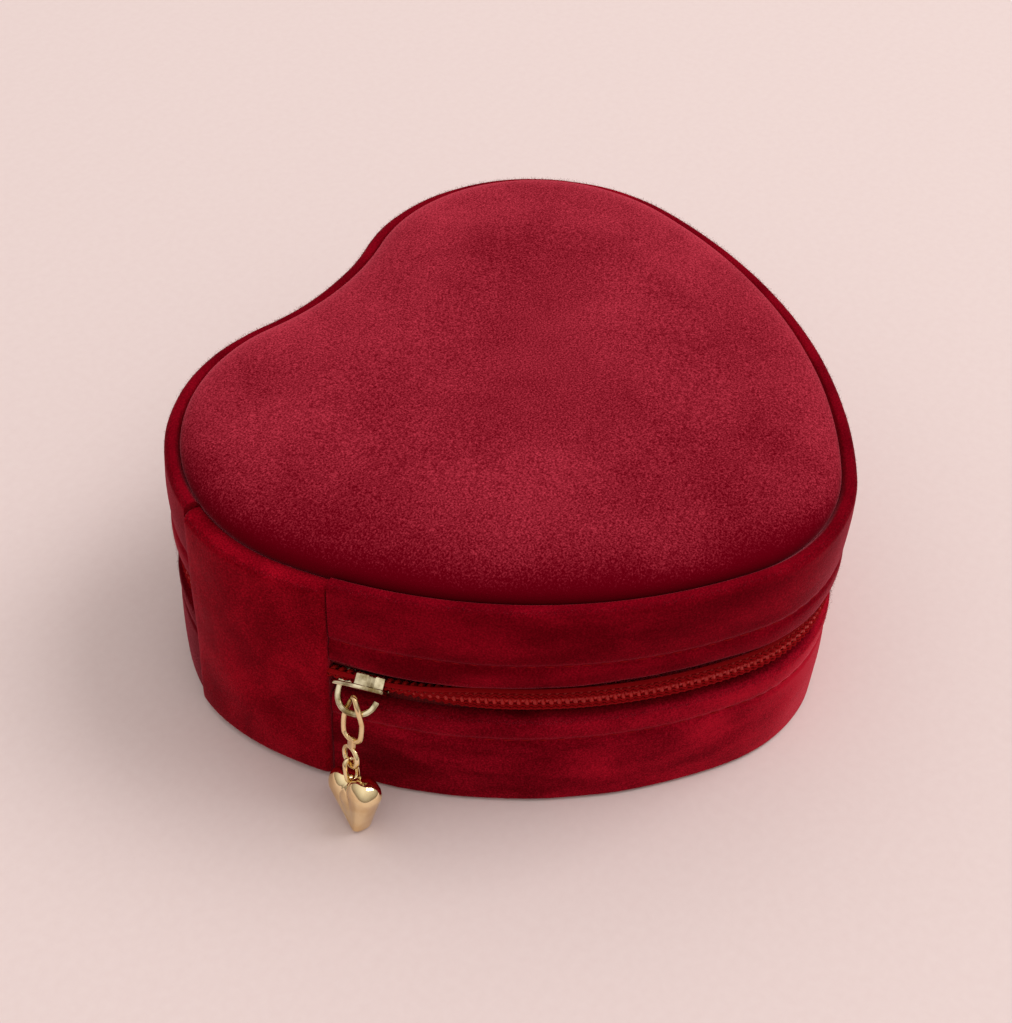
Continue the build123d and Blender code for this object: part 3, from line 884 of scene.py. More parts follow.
@dataclass(frozen=True)
class PaddedTop:
    """Foam pad on the lid under stretched velvet, its edge drawn down into the groove inside the rim.

    The rings of points round its shoulder are given by their insets in millimetres.
    """

    case: HeartCase
    edge_inset: float = 1.9 * MM
    foot_inset: float = 2.4 * MM
    edge_lift: float = -0.4 * MM
    shoulder: float = 6.5 * MM
    crown: float = 4.0 * MM
    dome: float = 0.4 * MM
    fullness: float = 0.5
    spacing: float = 2.0 * MM
    unevenness: float = 0.05 * MM
    hollow: float = 14.0 * MM
    foot_shares: tuple[float, ...] = (0.0, 0.35, 0.75)
    ring_insets: tuple[float, ...] = (0.0, 0.3, 0.8, 1.6, 2.6, 3.8, 5.2, 6.8, 8.6)
    margin: float = 0.6
    weld: float = 1e-7
    swelling: Swelling = Swelling(most=0.8 * MM)

    def height(self, inset: Array) -> Array:
        """Height of the cover above its edge before it swells, by the distance in from that edge."""
        rise = (1 - (1 - np.clip(inset / self.shoulder, 0, 1)) ** 2) ** self.fullness
        beyond = 1 - np.exp(-np.maximum(inset - self.shoulder, 0) / (2 * self.shoulder))
        return self.crown * rise + self.dome * beyond

    def build(self) -> list[Piece]:
        """Builds the cover over its filling and lets it swell."""
        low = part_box("lid_top_velvet")[0].z
        edge_z = self.case.far_edge(Half.LID) + self.edge_lift
        shares = np.array(self.foot_shares)
        insets = np.array(self.ring_insets) * MM
        under = self.foot_inset + (self.edge_inset - self.foot_inset) * shares
        rings = [self.case.ring(inset, self.spacing) for inset in (*under, *(self.edge_inset + insets))]
        levels = [*(low + (edge_z - low) * shares), *(edge_z + self.height(insets))]
        width = len(rings[0])
        rows = [np.column_stack([ring, np.full(width, z)]) for ring, z in zip(rings, levels)]
        vertices, faces = skin(np.array(rows))
        faces.pop()
        points, triangles = self.filled(rings[-1])
        to_edge = np.linalg.norm(points[:, None] - self.case.ring(self.edge_inset)[None], axis=2).min(axis=1)
        start = len(vertices) - width
        added = np.column_stack([points, edge_z + self.height(to_edge)])[width:]
        faces += [tuple(start + corner for corner in triangle) for triangle in triangles]
        pad = make_piece("lid_velvet_pad", (np.concatenate([vertices, added]), faces), LIT_TOP_VELVET, sharp=80)
        held = (len(shares) + 1) * width
        self.swelling.apply(pad, range(held))
        self.waver(pad, held)
        pad.modifiers.new("smooth", "SUBSURF").render_levels = 1
        return [seat(pad, "lid", "red_velvet", "lid_top_velvet", "lid_top_foam")]

    def filled(self, border: Array) -> tuple[Array, list[Sequence[int]]]:
        """Fills the flat middle of the cover with even triangles.

        Args:
            border: Points round the middle.

        Returns:
            Points, those of the border first, and triangles by their indices.
        """
        low, high = border.min(axis=0), border.max(axis=0)
        step = np.array((self.spacing, self.spacing * math.sqrt(3) / 2))
        columns, lines = np.ceil((high - low) / step).astype(int) + 1
        grid = np.array(
            [low + step * (column + line % 2 / 2, line) for line in range(lines) for column in range(columns)]
        )
        to_border = np.linalg.norm(grid[:, None] - border[None], axis=2)
        nearest = to_border.argmin(axis=1)
        outline = self.case.ring(0, self.spacing)[nearest]
        inside = np.einsum("ij,ij->i", border[nearest] - grid, outline - border[nearest]) > 0
        kept = grid[inside & (to_border.min(axis=1) > self.margin * self.spacing)]
        points = [Vector(point) for point in np.concatenate([border, kept])]
        sides = [(index, (index + 1) % len(border)) for index in range(len(border))]
        found = geometry.delaunay_2d_cdt(points, sides, [], 1, self.weld)
        return np.array(found[0]), found[2]

    def waver(self, pad: Piece, held: int) -> None:
        """Gives the stretched cover its slight hollows.

        Args:
            pad: The cover.
            held: Count of the first vertices, which stay as they are.
        """
        points = np.array([vertex.co for vertex in pad.data.vertices])
        points[held:, 2] += waver(points[held:], self.hollow, self.unevenness)
        pad.data.vertices.foreach_set("co", points.astype(np.float32).ravel())
        pad.data.update()


@dataclass(frozen=True)
class SideBand:
    """Foam-backed velvet band round one half, turned in at the zip and topstitched beside it.

    Each sag gives its place along the outline, its reach and the height by which the lip leaves its
    line. Knocks are places where the pile is pressed flat.
    """

    case: HeartCase
    half: Half
    pile: float = 0.5 * MM
    lip: float = 0.4 * MM
    edge_round: float = 0.9 * MM
    rim_round: float = 1.0 * MM
    rim_inset: float = 1.3 * MM
    rim_slope: float = 2.0 * MM
    inner_round: float = 0.6 * MM
    stitch_offset: float = 4.4 * MM
    stitch_depth: float = 0.4 * MM
    stitch_width: float = 0.6 * MM
    stitch_pitch: float = 2.8 * MM
    stitch_length: float = 2.0 * MM
    thread: float = 0.3 * MM
    stitch_slack: float = 0.2
    stitch_sink: float = 0.8
    stitch_dive: float = 3.0
    swell: float = 0.25 * MM
    lip_swell: float = 0.6
    unevenness: float = 0.14 * MM
    sway: float = 8.0 * MM
    lip_sway: float = 5.0 * MM
    lip_reach: float = 1.5 * MM
    lip_seed: float = 7.0
    lip_depth: float = 2.5 * MM
    sags: tuple[Triple, ...] = ()
    spacing: float = 0.9 * MM
    finish: PileVelvet = SHADED_SIDE_VELVET
    knocks: tuple[Knock, ...] = ()

    @property
    def stitch_z(self) -> float:
        """Height of the topstitching."""
        return self.case.edge(self.half) + self.half.value * self.stitch_offset

    def profile(self) -> Array:
        """Section of the band, as outward distance and height, rebated for the tape."""
        edge = self.case.edge(self.half) - self.half.value * self.lip
        far = self.case.far_edge(self.half)
        step = self.case.edge(self.half) + self.half.value * self.case.tape_tuck
        tape, board = -self.case.tape_inset, -self.case.velvet
        corners = [
            (self.pile, edge, self.edge_round),
            (tape, edge, self.inner_round / 2),
            (tape, step, 0.0),
            (board, step, 0.0),
        ]
        if self.half is Half.LID:
            corners += [(board, far - self.rim_slope, 0.0), (-self.rim_inset, far, self.inner_round)]
            corners.append((self.pile, far, self.rim_round))
        else:
            corners += [(board, far, self.inner_round / 2), (self.pile, far, self.inner_round)]
        return divided(rounded(corners), self.spacing / 2)

    def build(self) -> list[Piece]:
        """Builds the band and its topstitching."""
        count = round((self.case.zip_end - self.case.zip_start) / self.spacing)
        along = np.linspace(self.case.zip_start, self.case.zip_end, count)
        profile = self.profile()
        edge, far = self.case.edge(self.half), self.case.far_edge(self.half)
        out, z = profile.T
        face = smooth_step((out + self.edge_round) / (self.edge_round + self.pile))
        share = np.clip((z - self.stitch_z) / (far - self.stitch_z), 0, 1)
        lip = np.clip((z - edge) / (self.stitch_z - edge), 0, 1)
        puff = self.swell * (np.sin(math.pi * share) + self.lip_swell * np.sin(math.pi * lip))
        drawn = np.exp(-(((z - self.stitch_z) / self.stitch_width) ** 2))
        slack = self.stitch_slack
        pull = 1 - slack + slack * np.cos(math.tau * along / self.stitch_pitch)
        offset = face * (puff - self.stitch_depth * pull[:, None] * drawn)
        profiles = np.stack([out + offset, np.broadcast_to(z, offset.shape)], axis=-1)
        rows = self.case.carry(along, profiles)
        flat = rows.reshape(-1, 3)
        sway = waver(flat, self.sway, self.unevenness, self.half.value)
        profiles[..., 0] += face * sway.reshape(offset.shape)
        for place, reach, depth in self.knocks:
            away = np.linalg.norm(rows - np.array(place), axis=-1)
            profiles[..., 0] -= face * depth * np.exp(-((away / reach) ** 2))
        lift = waver(flat, self.lip_sway, self.unevenness, self.lip_seed).reshape(offset.shape)
        profiles[..., 1] += lift * np.exp(-(((z - edge) / self.lip_reach) ** 2))
        for place, reach, rise in self.sags:
            near = np.exp(-(((along - place) / reach) ** 2))[:, None]
            profiles[..., 1] += rise * near * np.exp(-(((z - edge) / self.lip_depth) ** 2))
        body = self.half.body
        band = make_piece(f"{body}_velvet_band", skin(self.case.carry(along, profiles)), self.finish)
        seat(band, body, "red_velvet", f"{body}_side_velvet")
        return [band, self.topstitch()]

    def topstitch(self) -> Piece:
        """Sews a row of stitches along the band."""
        start, end = self.case.zip_start + self.stitch_pitch, self.case.zip_end - self.stitch_pitch
        shares = np.linspace(-0.5, 0.5, 7)
        sunk = self.stitch_depth * (self.stitch_sink + self.stitch_dive * np.abs(shares) ** 3) - self.pile
        shells = []
        for middle in np.arange(start, end, self.stitch_pitch):
            profiles = np.column_stack([-sunk, np.full(len(shares), self.stitch_z)])[:, None]
            path = self.case.carry(middle + self.stitch_length * shares, profiles)[:, 0]
            shells.append(tube(path, self.thread / 2 * (1.0 - np.abs(shares)), 6))
        row = make_piece(f"{self.half.body}_topstitching", merged(shells), RED_THREAD)
        return seat(row, self.half.body, "red_velvet")


@dataclass(frozen=True)
class FabricHinge:
    """Velvet panel over the back of the zip, with folded edges, and the lining strip behind it."""

    case: HeartCase
    proud: float = 1.2 * MM
    fold: float = 1.0 * MM
    edge_round: float = 1.2 * MM
    lining_reach: float = 13.0 * MM
    lining_thickness: float = 0.5 * MM
    unevenness: float = 0.22 * MM
    sway: float = 9.0 * MM
    seed: float = 3.0
    spacing: float = 0.8 * MM

    def build(self) -> list[Piece]:
        """Builds the panel and its lining strip."""
        return [self.panel(), self.strip()]

    def bend(self, piece: Piece, slot: str, *nodes: str) -> Piece:
        """Keeps a strip of cloth where it lies in the world, and hides the solids it stands for.

        Args:
            piece: The strip.
            slot: Material slot of its finish; not used.
            nodes: Solids that it stands for.

        Returns:
            The strip.
        """
        low, high = self.case.edge(Half.BASE), self.case.edge(Half.LID)
        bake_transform(piece)
        if nodes:
            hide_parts(*nodes)
        log.info("%s bends between base and lid", piece.name)
        return piece

    def panel(self) -> Piece:
        """Builds the velvet panel."""
        low, high = (corner.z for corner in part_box("hinge_panel"))
        back = -self.case.tape_inset
        corners = [
            (self.proud, low, self.edge_round),
            (self.proud, high, self.edge_round),
            (back, high, self.edge_round / 2),
            (back, low, self.edge_round / 2),
        ]
        out, z = divided(rounded(corners), self.spacing).T
        start, end = -self.case.panel_rear, self.case.panel_front
        turns = np.radians(np.linspace(0, 90, 6))
        fold = self.fold * (1 - np.cos(turns))
        middle = np.linspace(start + self.fold, end - self.fold, round((end - start) / self.spacing))
        along = np.concatenate([start + fold[:-1], middle, end - fold[-2::-1]])
        reach = np.minimum(np.minimum(along - start, end - along) / self.fold, 1)
        drop = self.fold * (1 - np.sqrt(1 - (1 - reach) ** 2))
        front = (out - back) / (self.proud - back)
        profiles = np.stack([out - front * drop[:, None], np.broadcast_to(z, (len(along), len(z)))], axis=-1)
        flat = self.case.carry(along, profiles).reshape(-1, 3)
        sway = waver(flat, self.sway, self.unevenness, self.seed).reshape(len(along), -1)
        profiles[..., 0] += front * sway
        panel = make_piece("hinge_velvet_panel", skin(self.case.carry(along, profiles)), LIT_HINGE_VELVET)
        return self.bend(panel, "red_velvet", "hinge_panel")

    def strip(self) -> Piece:
        """Builds the lining strip behind the hinge."""
        low, high = (corner.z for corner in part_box("hinge_lining"))
        outer = -self.case.room_inset
        inner = outer - self.lining_thickness
        tip = self.lining_thickness / 3
        corners = [(outer, low, tip), (outer, high, tip), (inner, high, tip), (inner, low, tip)]
        profile = divided(rounded(corners, 2), self.spacing)
        reach = self.lining_reach
        along = np.linspace(-reach, reach, round(2 * reach / self.spacing))
        profiles = np.broadcast_to(profile, (len(along), *profile.shape))
        strip = make_piece("hinge_lining_strip", skin(self.case.carry(along, profiles)), LINING_VELVET)
        return self.bend(strip, "lining_velvet", "hinge_lining")


@dataclass(frozen=True)
class PileFringe:
    """Loose pile that stands up along the folded edges, drawn coarser than its 0.02 mm fibres to show."""

    case: HeartCase
    length: float = 0.42 * MM
    width: float = 0.035 * MM
    density: float = 40 / MM
    spread: float = 0.2 * MM
    stand: float = 45.0
    lip_stand: float = -15.0
    scatter: float = 28.0
    stray: float = 0.5
    shortest: float = 0.4
    panel_inset: float = 1.0 * MM
    seed: int = 14
    seed_step: int = 7

    def build(self) -> list[Piece]:
        """Raises the pile along the edges of both bands and of the hinge panel."""
        case = self.case
        band = (case.zip_start, case.zip_end)
        panel = (case.panel_front - self.panel_inset, -case.panel_rear + self.panel_inset)
        rim, lip = case.far_edge(Half.LID), case.edge(Half.LID)
        base_lip, high = case.edge(Half.BASE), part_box("hinge_panel")[1].z
        # Each edge by its run, its outward distance, its height and the angle at which its pile stands
        edges = {
            "lid": [
                (band, 0.0, rim - 0.3 * MM, self.stand),
                (band, 0.3 * MM, lip + 0.3 * MM, self.lip_stand),
            ],
            "base": [(band, 0.2 * MM, base_lip + 0.1 * MM, self.stand)],
            "hinge": [(panel, 0.7 * MM, high - 0.4 * MM, self.stand)],
        }
        pieces = []
        for number, (name, runs) in enumerate(edges.items()):
            seed = self.seed + self.seed_step * number
            shells = [self.raised(*run, seed + index) for index, run in enumerate(runs)]
            pieces.append(make_piece(f"{name}_pile_fringe", merged(shells), SHADED_SIDE_VELVET, sharp=180))
        for piece, body in zip(pieces, ("lid", "base")):
            seat(piece, body, "red_velvet")
        FabricHinge(case).bend(pieces[2], "red_velvet")
        return pieces

    def raised(self, run: Span, out: float, z: float, rise: float, seed: int) -> Shell:
        """Sets tapered fibres along an edge.

        Args:
            run: Places along the outline where the edge starts and ends.
            out: Outward distance of the edge from the outline.
            z: Height of the edge.
            rise: Mean angle of the fibres above the level, in degrees.
            seed: Start of the random row.

        Returns:
            Vertices and faces.
        """
        chance = np.random.default_rng(seed)
        count = int(abs(run[1] - run[0]) * self.density)
        along = run[0] + (run[1] - run[0]) * chance.random(count)
        points, outward = self.case.places(along)
        roots = np.column_stack([points + outward * out, np.full(count, z)])
        roots += chance.normal(0, self.spread, (count, 3))
        normal = np.column_stack([outward, np.zeros(count)])
        tangent = np.column_stack([-outward[:, 1], outward[:, 0], np.zeros(count)])
        angle = np.radians(rise + chance.normal(0, self.scatter, count))[:, None]
        way = normal * np.cos(angle) + np.array((0, 0, 1)) * np.sin(angle)
        way = unit(way + tangent * chance.normal(0, self.stray, (count, 1)))
        across = unit(np.cross(way, tangent + normal * 0.3))
        beside = np.cross(way, across)
        tips = roots + way * self.length * chance.uniform(self.shortest, 1.0, (count, 1))
        turns = math.tau * np.arange(3) / 3
        ring = np.cos(turns)[:, None, None] * across + np.sin(turns)[:, None, None] * beside
        corners = roots + self.width / 2 * ring
        vertices = np.concatenate([corners, tips[None]]).transpose(1, 0, 2).reshape(-1, 3)
        sides = ((0, 2, 1), (0, 1, 3), (1, 2, 3), (2, 0, 3))
        return vertices, [tuple(4 * fibre + c for c in side) for fibre in range(count) for side in sides]


@dataclass(frozen=True)
class ZipChain:
    """Coil zip: two halves of nylon wire sewn to woven tapes, twisted where the slider tips them."""

    case: HeartCase
    pitch: float = 1.25 * MM
    wire: float = 0.74 * MM
    cord: float = 0.9 * MM
    thickness: float = 1.9 * MM
    half_width: float = 2.0 * MM
    overlap: float = 0.42 * MM
    spread: float = 0.8 * MM
    sewing: float = 0.3 * MM
    gap: float = 0.3 * MM
    slider_tilt: float = 35.0
    slider_length: float = 8.6 * MM
    slider_gap: float = 0.5 * MM
    flange_length: float = 4.8 * MM
    twist_run: float = 17.0 * MM
    tuck: float = 3.0 * MM
    tape_leave: float = 3.1 * MM
    tape_bend: float = 0.6 * MM
    sewing_shares: Span = (0.42, 0.72)
    sewing_dip: float = 0.25
    cord_shares: Triple = (0.2, 0.55, 0.9)
    spacing: float = 0.9 * MM
    steps: int = 12

    @property
    def nose(self) -> float:
        """Place of the slider's nose."""
        return self.case.panel_front + self.slider_gap

    @property
    def tail(self) -> float:
        """Place of the slider's tail."""
        return self.nose + self.slider_length

    @property
    def start(self) -> float:
        """Place under the hinge panel where the chain starts."""
        return self.case.zip_start - self.tuck

    @property
    def end(self) -> float:
        """Place under the hinge panel where it ends."""
        return self.case.zip_end + self.tuck

    @property
    def inset(self) -> float:
        """Inset of the coil's middle."""
        return self.case.tape_inset - self.case.tape_clearance - self.thickness / 2

    def tilt(self, along: Array) -> Array:
        """Angle in radians by which the chain is tipped."""
        return math.radians(self.slider_tilt) * (1 - smooth_step((along - self.tail) / self.twist_run))

    def parting(self, along: Array) -> Array:
        """Distance by which each half parts from the other in the slider."""
        run = self.slider_length - self.flange_length / 2
        return self.spread * (1 - smooth_step((along - self.nose) / run))

    def axes(self, along: Array) -> tuple[Array, Array, Array]:
        """Middle of the chain with its across and outward directions at each place."""
        points, outward = self.case.places(along)
        normal = np.column_stack([outward, np.zeros(len(along))])
        up = np.array((0.0, 0.0, 1.0))
        lean = self.tilt(along)[:, None]
        middle = np.column_stack([points, np.full(len(along), self.case.zip_z)]) - normal * self.inset
        return middle, up * np.cos(lean) + normal * np.sin(lean), normal * np.cos(lean) - up * np.sin(lean)

    def lay(self, along: Array, out: Array, across: Array) -> Array:
        """Points of a wire from its place along, outward and across the chain."""
        middle, sideways, outward = self.axes(along)
        return middle + outward * out[:, None] + sideways * across[:, None]

    def build(self) -> list[Piece]:
        """Builds both halves of the chain."""
        return [piece for half in Half for piece in (self.tape(half), self.coil(half), self.seam(half))]

    def coil(self, half: Half) -> Piece:
        """Winds the nylon wire of one half, half a turn ahead of the other."""
        turns = int((self.end - self.start) / self.pitch) - 1
        angle = math.tau * np.arange(turns * self.steps) / self.steps
        phase = 0.5 if half is Half.LID else 0.0
        along = self.start + self.pitch * (angle / math.tau + phase) + self.wire
        head, heel = -self.overlap, self.half_width - self.wire / 2
        across = (head + heel) / 2 - (heel - head) / 2 * np.cos(angle) + self.parting(along)
        out = (self.thickness - self.wire) / 2 * np.sin(angle)
        path = self.lay(along, out, half.value * across)
        coil = make_piece(f"zip_coil_{half.body}", tube(path, self.wire / 2, 6), ZIP_NYLON)
        return seat(coil, half.body, "zip_nylon", f"zip_coil_{half.tier}")

    def seam(self, half: Half) -> Piece:
        """Fills one half of the coil with cords and sews it to its tape, dipping between the turns."""
        along = np.arange(self.start + self.pitch, self.end - self.pitch, self.pitch / 6)
        phase = 0.25 + (0.5 if half is Half.LID else 0.0)
        crest = np.cos(math.tau * ((along - self.start - self.wire) / self.pitch - phase))
        out = self.thickness / 2 + self.sewing / 4 - self.sewing_dip * self.wire * (1 - crest)
        rows = [(self.half_width * share, out, self.sewing / 2) for share in self.sewing_shares]
        inside = np.full(len(along), (self.thickness - self.cord) / 2 - self.wire / 3)
        rows += [(self.half_width * share, inside, self.cord / 2) for share in self.cord_shares]
        shells = []
        for across, height, radius in rows:
            path = self.lay(along, height, half.value * (across + self.parting(along)))
            shells.append(tube(path, radius, 5))
        seam = make_piece(f"zip_coil_seam_{half.body}", merged(shells), RED_THREAD)
        return seat(seam, half.body, "zip_nylon")

    def tape(self, half: Half) -> Piece:
        """Weaves the tape of one half, from under the coil into the wall."""
        along = np.arange(self.start, self.end, self.spacing)
        side = half.value
        behind = -(self.thickness + self.case.tape) / 2 - self.case.tape_clearance
        lean = self.tilt(along)
        spine = []
        for across in (self.gap + self.parting(along), np.full(len(along), self.tape_leave)):
            out = behind * np.cos(lean) + side * across * np.sin(lean) - self.inset
            up = side * across * np.cos(lean) - behind * np.sin(lean) + self.case.zip_z
            spine.append(np.stack([out, up], axis=-1))
        in_wall = -self.case.tape_inset - self.case.tape / 2
        for rise in (-self.tape_bend, self.case.tape_tuck):
            spine.append(np.broadcast_to((in_wall, self.case.edge(half) + side * rise), (len(along), 2)))
        spine = np.stack(spine, axis=1)
        run = unit(np.gradient(spine, axis=1))
        normal = np.stack([-run[..., 1], run[..., 0]], axis=-1) * self.case.tape / 2
        profiles = np.concatenate([spine + normal, (spine - normal)[:, ::-1]], axis=1)
        tape = make_piece(f"zip_tape_{half.body}", skin(self.case.carry(along, profiles)), ZIP_TAPE)
        self.map_weave(tape, along, profiles)
        return seat(tape, half.body, "zip_tape", f"zip_tape_{half.tier}")

    def map_weave(self, tape: Piece, along: Array, profiles: Array) -> None:
        """Lays the weave along the tape, in metres.

        Args:
            tape: The tape's piece.
            along: Place of each section.
            profiles: Sections of the tape.
        """
        steps = np.linalg.norm(np.diff(profiles, axis=1, prepend=profiles[:, :1]), axis=2)
        spots = np.stack([np.broadcast_to(along[:, None], steps.shape), np.cumsum(steps, axis=1)], axis=-1)
        spots = spots.reshape(-1, 2)
        weave = tape.data.uv_layers.new(name="weave")
        corners = np.array([loop.vertex_index for loop in tape.data.loops])
        weave.data.foreach_set("uv", spots[corners].astype(np.float32).ravel())


def hanging_frame(origin: Vector, tangent: Vector, normal: Vector, turn: float, lean: float) -> Matrix:
    """Frame of a piece that hangs: X sideways, Y down along it.

    Args:
        origin: Point that it hangs from.
        tangent: Direction along the wall.
        normal: Direction away from the wall.
        turn: Angle about its own length, in degrees.
        lean: Angle out of the vertical, in degrees.

    Returns:
        The frame's matrix.
    """
    tip, twist = math.radians(lean), math.radians(turn)
    down = Vector((0, 0, -1)) * math.cos(tip) + normal * math.sin(tip)
    sideways = tangent * math.cos(twist) - tangent.cross(down) * math.sin(twist)
    return axes_matrix(origin, sideways, down, sideways.cross(down))


def axes_matrix(origin: Vector, x: Vector, y: Vector, z: Vector) -> Matrix:
    """Matrix of a frame by its origin and its axes."""
    turn = Matrix((x, y, z)).transposed().to_4x4()
    return Matrix.Translation(origin) @ turn


def wire_loop(
    width: float, low: float, high: float, wire: float, narrow: float = 0.0, steps: int = 48
) -> Shell:
    """Wire bent to a long loop in the XY plane.

    Args:
        width: Width over the wire.
        low: Where the middle of the wire starts along Y.
        high: Where it ends.
        wire: Diameter of the wire.
        narrow: Share by which the loop's first half narrows towards its start.
        steps: Points round the loop.

    Returns:
        Vertices and faces.
    """
    half = (width - wire) / 2
    turns = np.linspace(0, math.tau, steps, endpoint=False)
    run = max((high - low) / 2 - half, 0.0)
    turned = np.cos(turns)
    y = -half * turned - run * np.sign(turned) * np.minimum(1, 3 * np.abs(turned))
    share = (y + half + run) / (high - low)
    x = half * np.sin(turns) * (1 - narrow * (1 - smooth_step(2 * share)))
    path = np.column_stack([x, (low + high) / 2 + y, np.zeros(steps)])
    return tube(path, wire / 2, 10, loop=True)


@dataclass(frozen=True)
class Slider:
    """Zip slider: two plates on a post, flanges that close over the coil, and a bail for the pull."""

    chain: ZipChain
    plate: float = 0.7 * MM
    flange: float = 0.6 * MM
    nose_share: float = 0.4
    inner_width: float = 4.6 * MM
    post_length: float = 2.6 * MM
    post_width: float = 1.0 * MM
    clearance: float = 0.25 * MM
    bevel: float = 0.18 * MM
    plate_round: float = 0.6 * MM
    post_round: float = 0.3 * MM
    crimp_round: float = 0.1 * MM
    spacing: float = 0.4 * MM
    flange_spacing: float = 0.5 * MM
    crimps: tuple[Span, ...] = (
        (0.0, 0.25 * MM),
        (0.3, 0.0),
        (0.45, 0.3 * MM),
        (0.55, 0.0),
        (0.72, 0.06 * MM),
        (1.0, 0.3 * MM),
    )
    bail_width: float = 1.3 * MM
    bail_squareness: float = 0.85
    bail_bar: float = 0.95 * MM
    bail_length: float = 7.4 * MM
    bail_standoff: float = 4.2 * MM
    bail_mouth: float = 0.5 * MM
    bail_root: float = -0.1

    @cached_property
    def place(self) -> Matrix:
        """Frame of the slider: X towards its tail, Y across the chain, Z away from the wall."""
        middle = np.array([self.chain.nose + self.chain.slider_length / 2])
        _, normal = self.chain.case.places(middle)
        tangent = Vector((-normal[0, 1], normal[0, 0], 0))
        centre, across, outward = (Vector(rows[0]) for rows in self.chain.axes(middle))
        return axes_matrix(centre, tangent, across, outward)

    @property
    def along(self) -> Vector:
        """Direction of the chain through the slider."""
        return self.place.to_3x3().col[0].copy()

    @property
    def face(self) -> float:
        """Height of the outer plate's face above the chain's middle."""
        return self.chain.thickness / 2 + self.clearance + self.plate

    @property
    def back(self) -> float:
        """Height of the inner plate's face below the chain's middle."""
        case = self.chain.case
        return -self.chain.thickness / 2 - case.tape_clearance - case.tape - self.clearance - self.plate

    @property
    def bail_nose(self) -> float:
        """Place of the bail's root along the slider."""
        return -self.chain.slider_length / 2 + self.plate

    @property
    def hold(self) -> Vector:
        """Point of the bail that the pull hangs from."""
        middle = self.bail_nose + self.bail_length / 2
        return self.place @ Vector((middle, 0, self.face + self.bail_standoff - self.bail_bar / 2))

    def plate_outline(self, half_width: float) -> Array:
        """Outline of a plate that tapers to a blunt nose."""
        end = self.chain.slider_length / 2
        shoulder = end - self.chain.flange_length
        side = [(end, half_width), (shoulder, half_width), (-end, half_width * self.nose_share)]
        corners = [(x, -y) for x, y in reversed(side)] + side
        return divided(rounded([(x, y, self.plate_round) for x, y in corners]), self.spacing)

    def build(self) -> list[Piece]:
        """Builds the slider's body and its bail."""
        return [self.body(), self.bail()]

    def body(self) -> Piece:
        """Builds the plates, the post and the flanges."""
        end = self.chain.slider_length / 2
        wall = self.chain.half_width + self.clearance
        half = wall + self.flange
        shells = [
            slab(self.plate_outline(half), self.face - self.plate, self.face, self.bevel),
            slab(self.plate_outline(self.inner_width / 2), self.back, self.back + self.plate, self.bevel),
        ]
        start = -end + self.plate
        post = [(start, -1), (start + self.post_length, -1), (start + self.post_length, 1), (start, 1)]
        post = rounded([(x, y * self.post_width / 2, self.post_round) for x, y in post])
        shells.append(slab(post, self.back + self.bevel, self.face - self.bevel, self.bevel / 4))
        foot = -self.chain.thickness / 2 + self.clearance
        for side in (-1, 1):
            left, right = end - self.chain.flange_length, end - self.bevel
            crimped = [(right + (left - right) * share, side * (half - dent)) for share, dent in self.crimps]
            corners = [(left, side * wall), (right, side * wall), *crimped]
            outline = rounded([(x, y, self.crimp_round) for x, y in corners[::side]])
            outline = divided(outline, self.flange_spacing)
            shells.append(slab(outline, foot, self.face - self.bevel, self.bevel))
        body = make_piece("slider_casting", moved(merged(shells), self.place), SLIDER_GOLD)
        return seat(body, "slider", "gold_slider", "slider_body")

    def bail(self) -> Piece:
        """Bends the bail, an arch of flat strip with a narrow mouth at the tail."""
        bar, half = self.bail_bar / 2, self.bail_width / 2
        reach = self.bail_length / 2 - bar
        middle = self.bail_nose + self.bail_length / 2
        height = self.bail_standoff - bar
        closed = math.pi - math.asin((self.bail_mouth + bar) / height)
        bow_x, bow_z = bowed(np.linspace(self.bail_root, closed, 40), self.bail_squareness)
        path = np.column_stack([middle - reach * bow_x, self.face + height * bow_z])
        ahead = unit(np.gradient(path, axis=0))
        normal = np.column_stack([-ahead[:, 1], ahead[:, 0]])
        corners = [(-half, -bar), (half, -bar), (half, bar), (-half, bar)]
        section = rounded([(x, y, self.bail_bar / 3) for x, y in corners], 3)
        rows = []
        for spot, side in zip(path, normal):
            rows.append([(spot[0] + side[0] * up, across, spot[1] + side[1] * up) for across, up in section])
        bail = make_piece("slider_bail_arch", moved(skin(np.array(rows)), self.place), SLIDER_GOLD)
        return seat(bail, "slider", "gold_slider", "slider_bail")


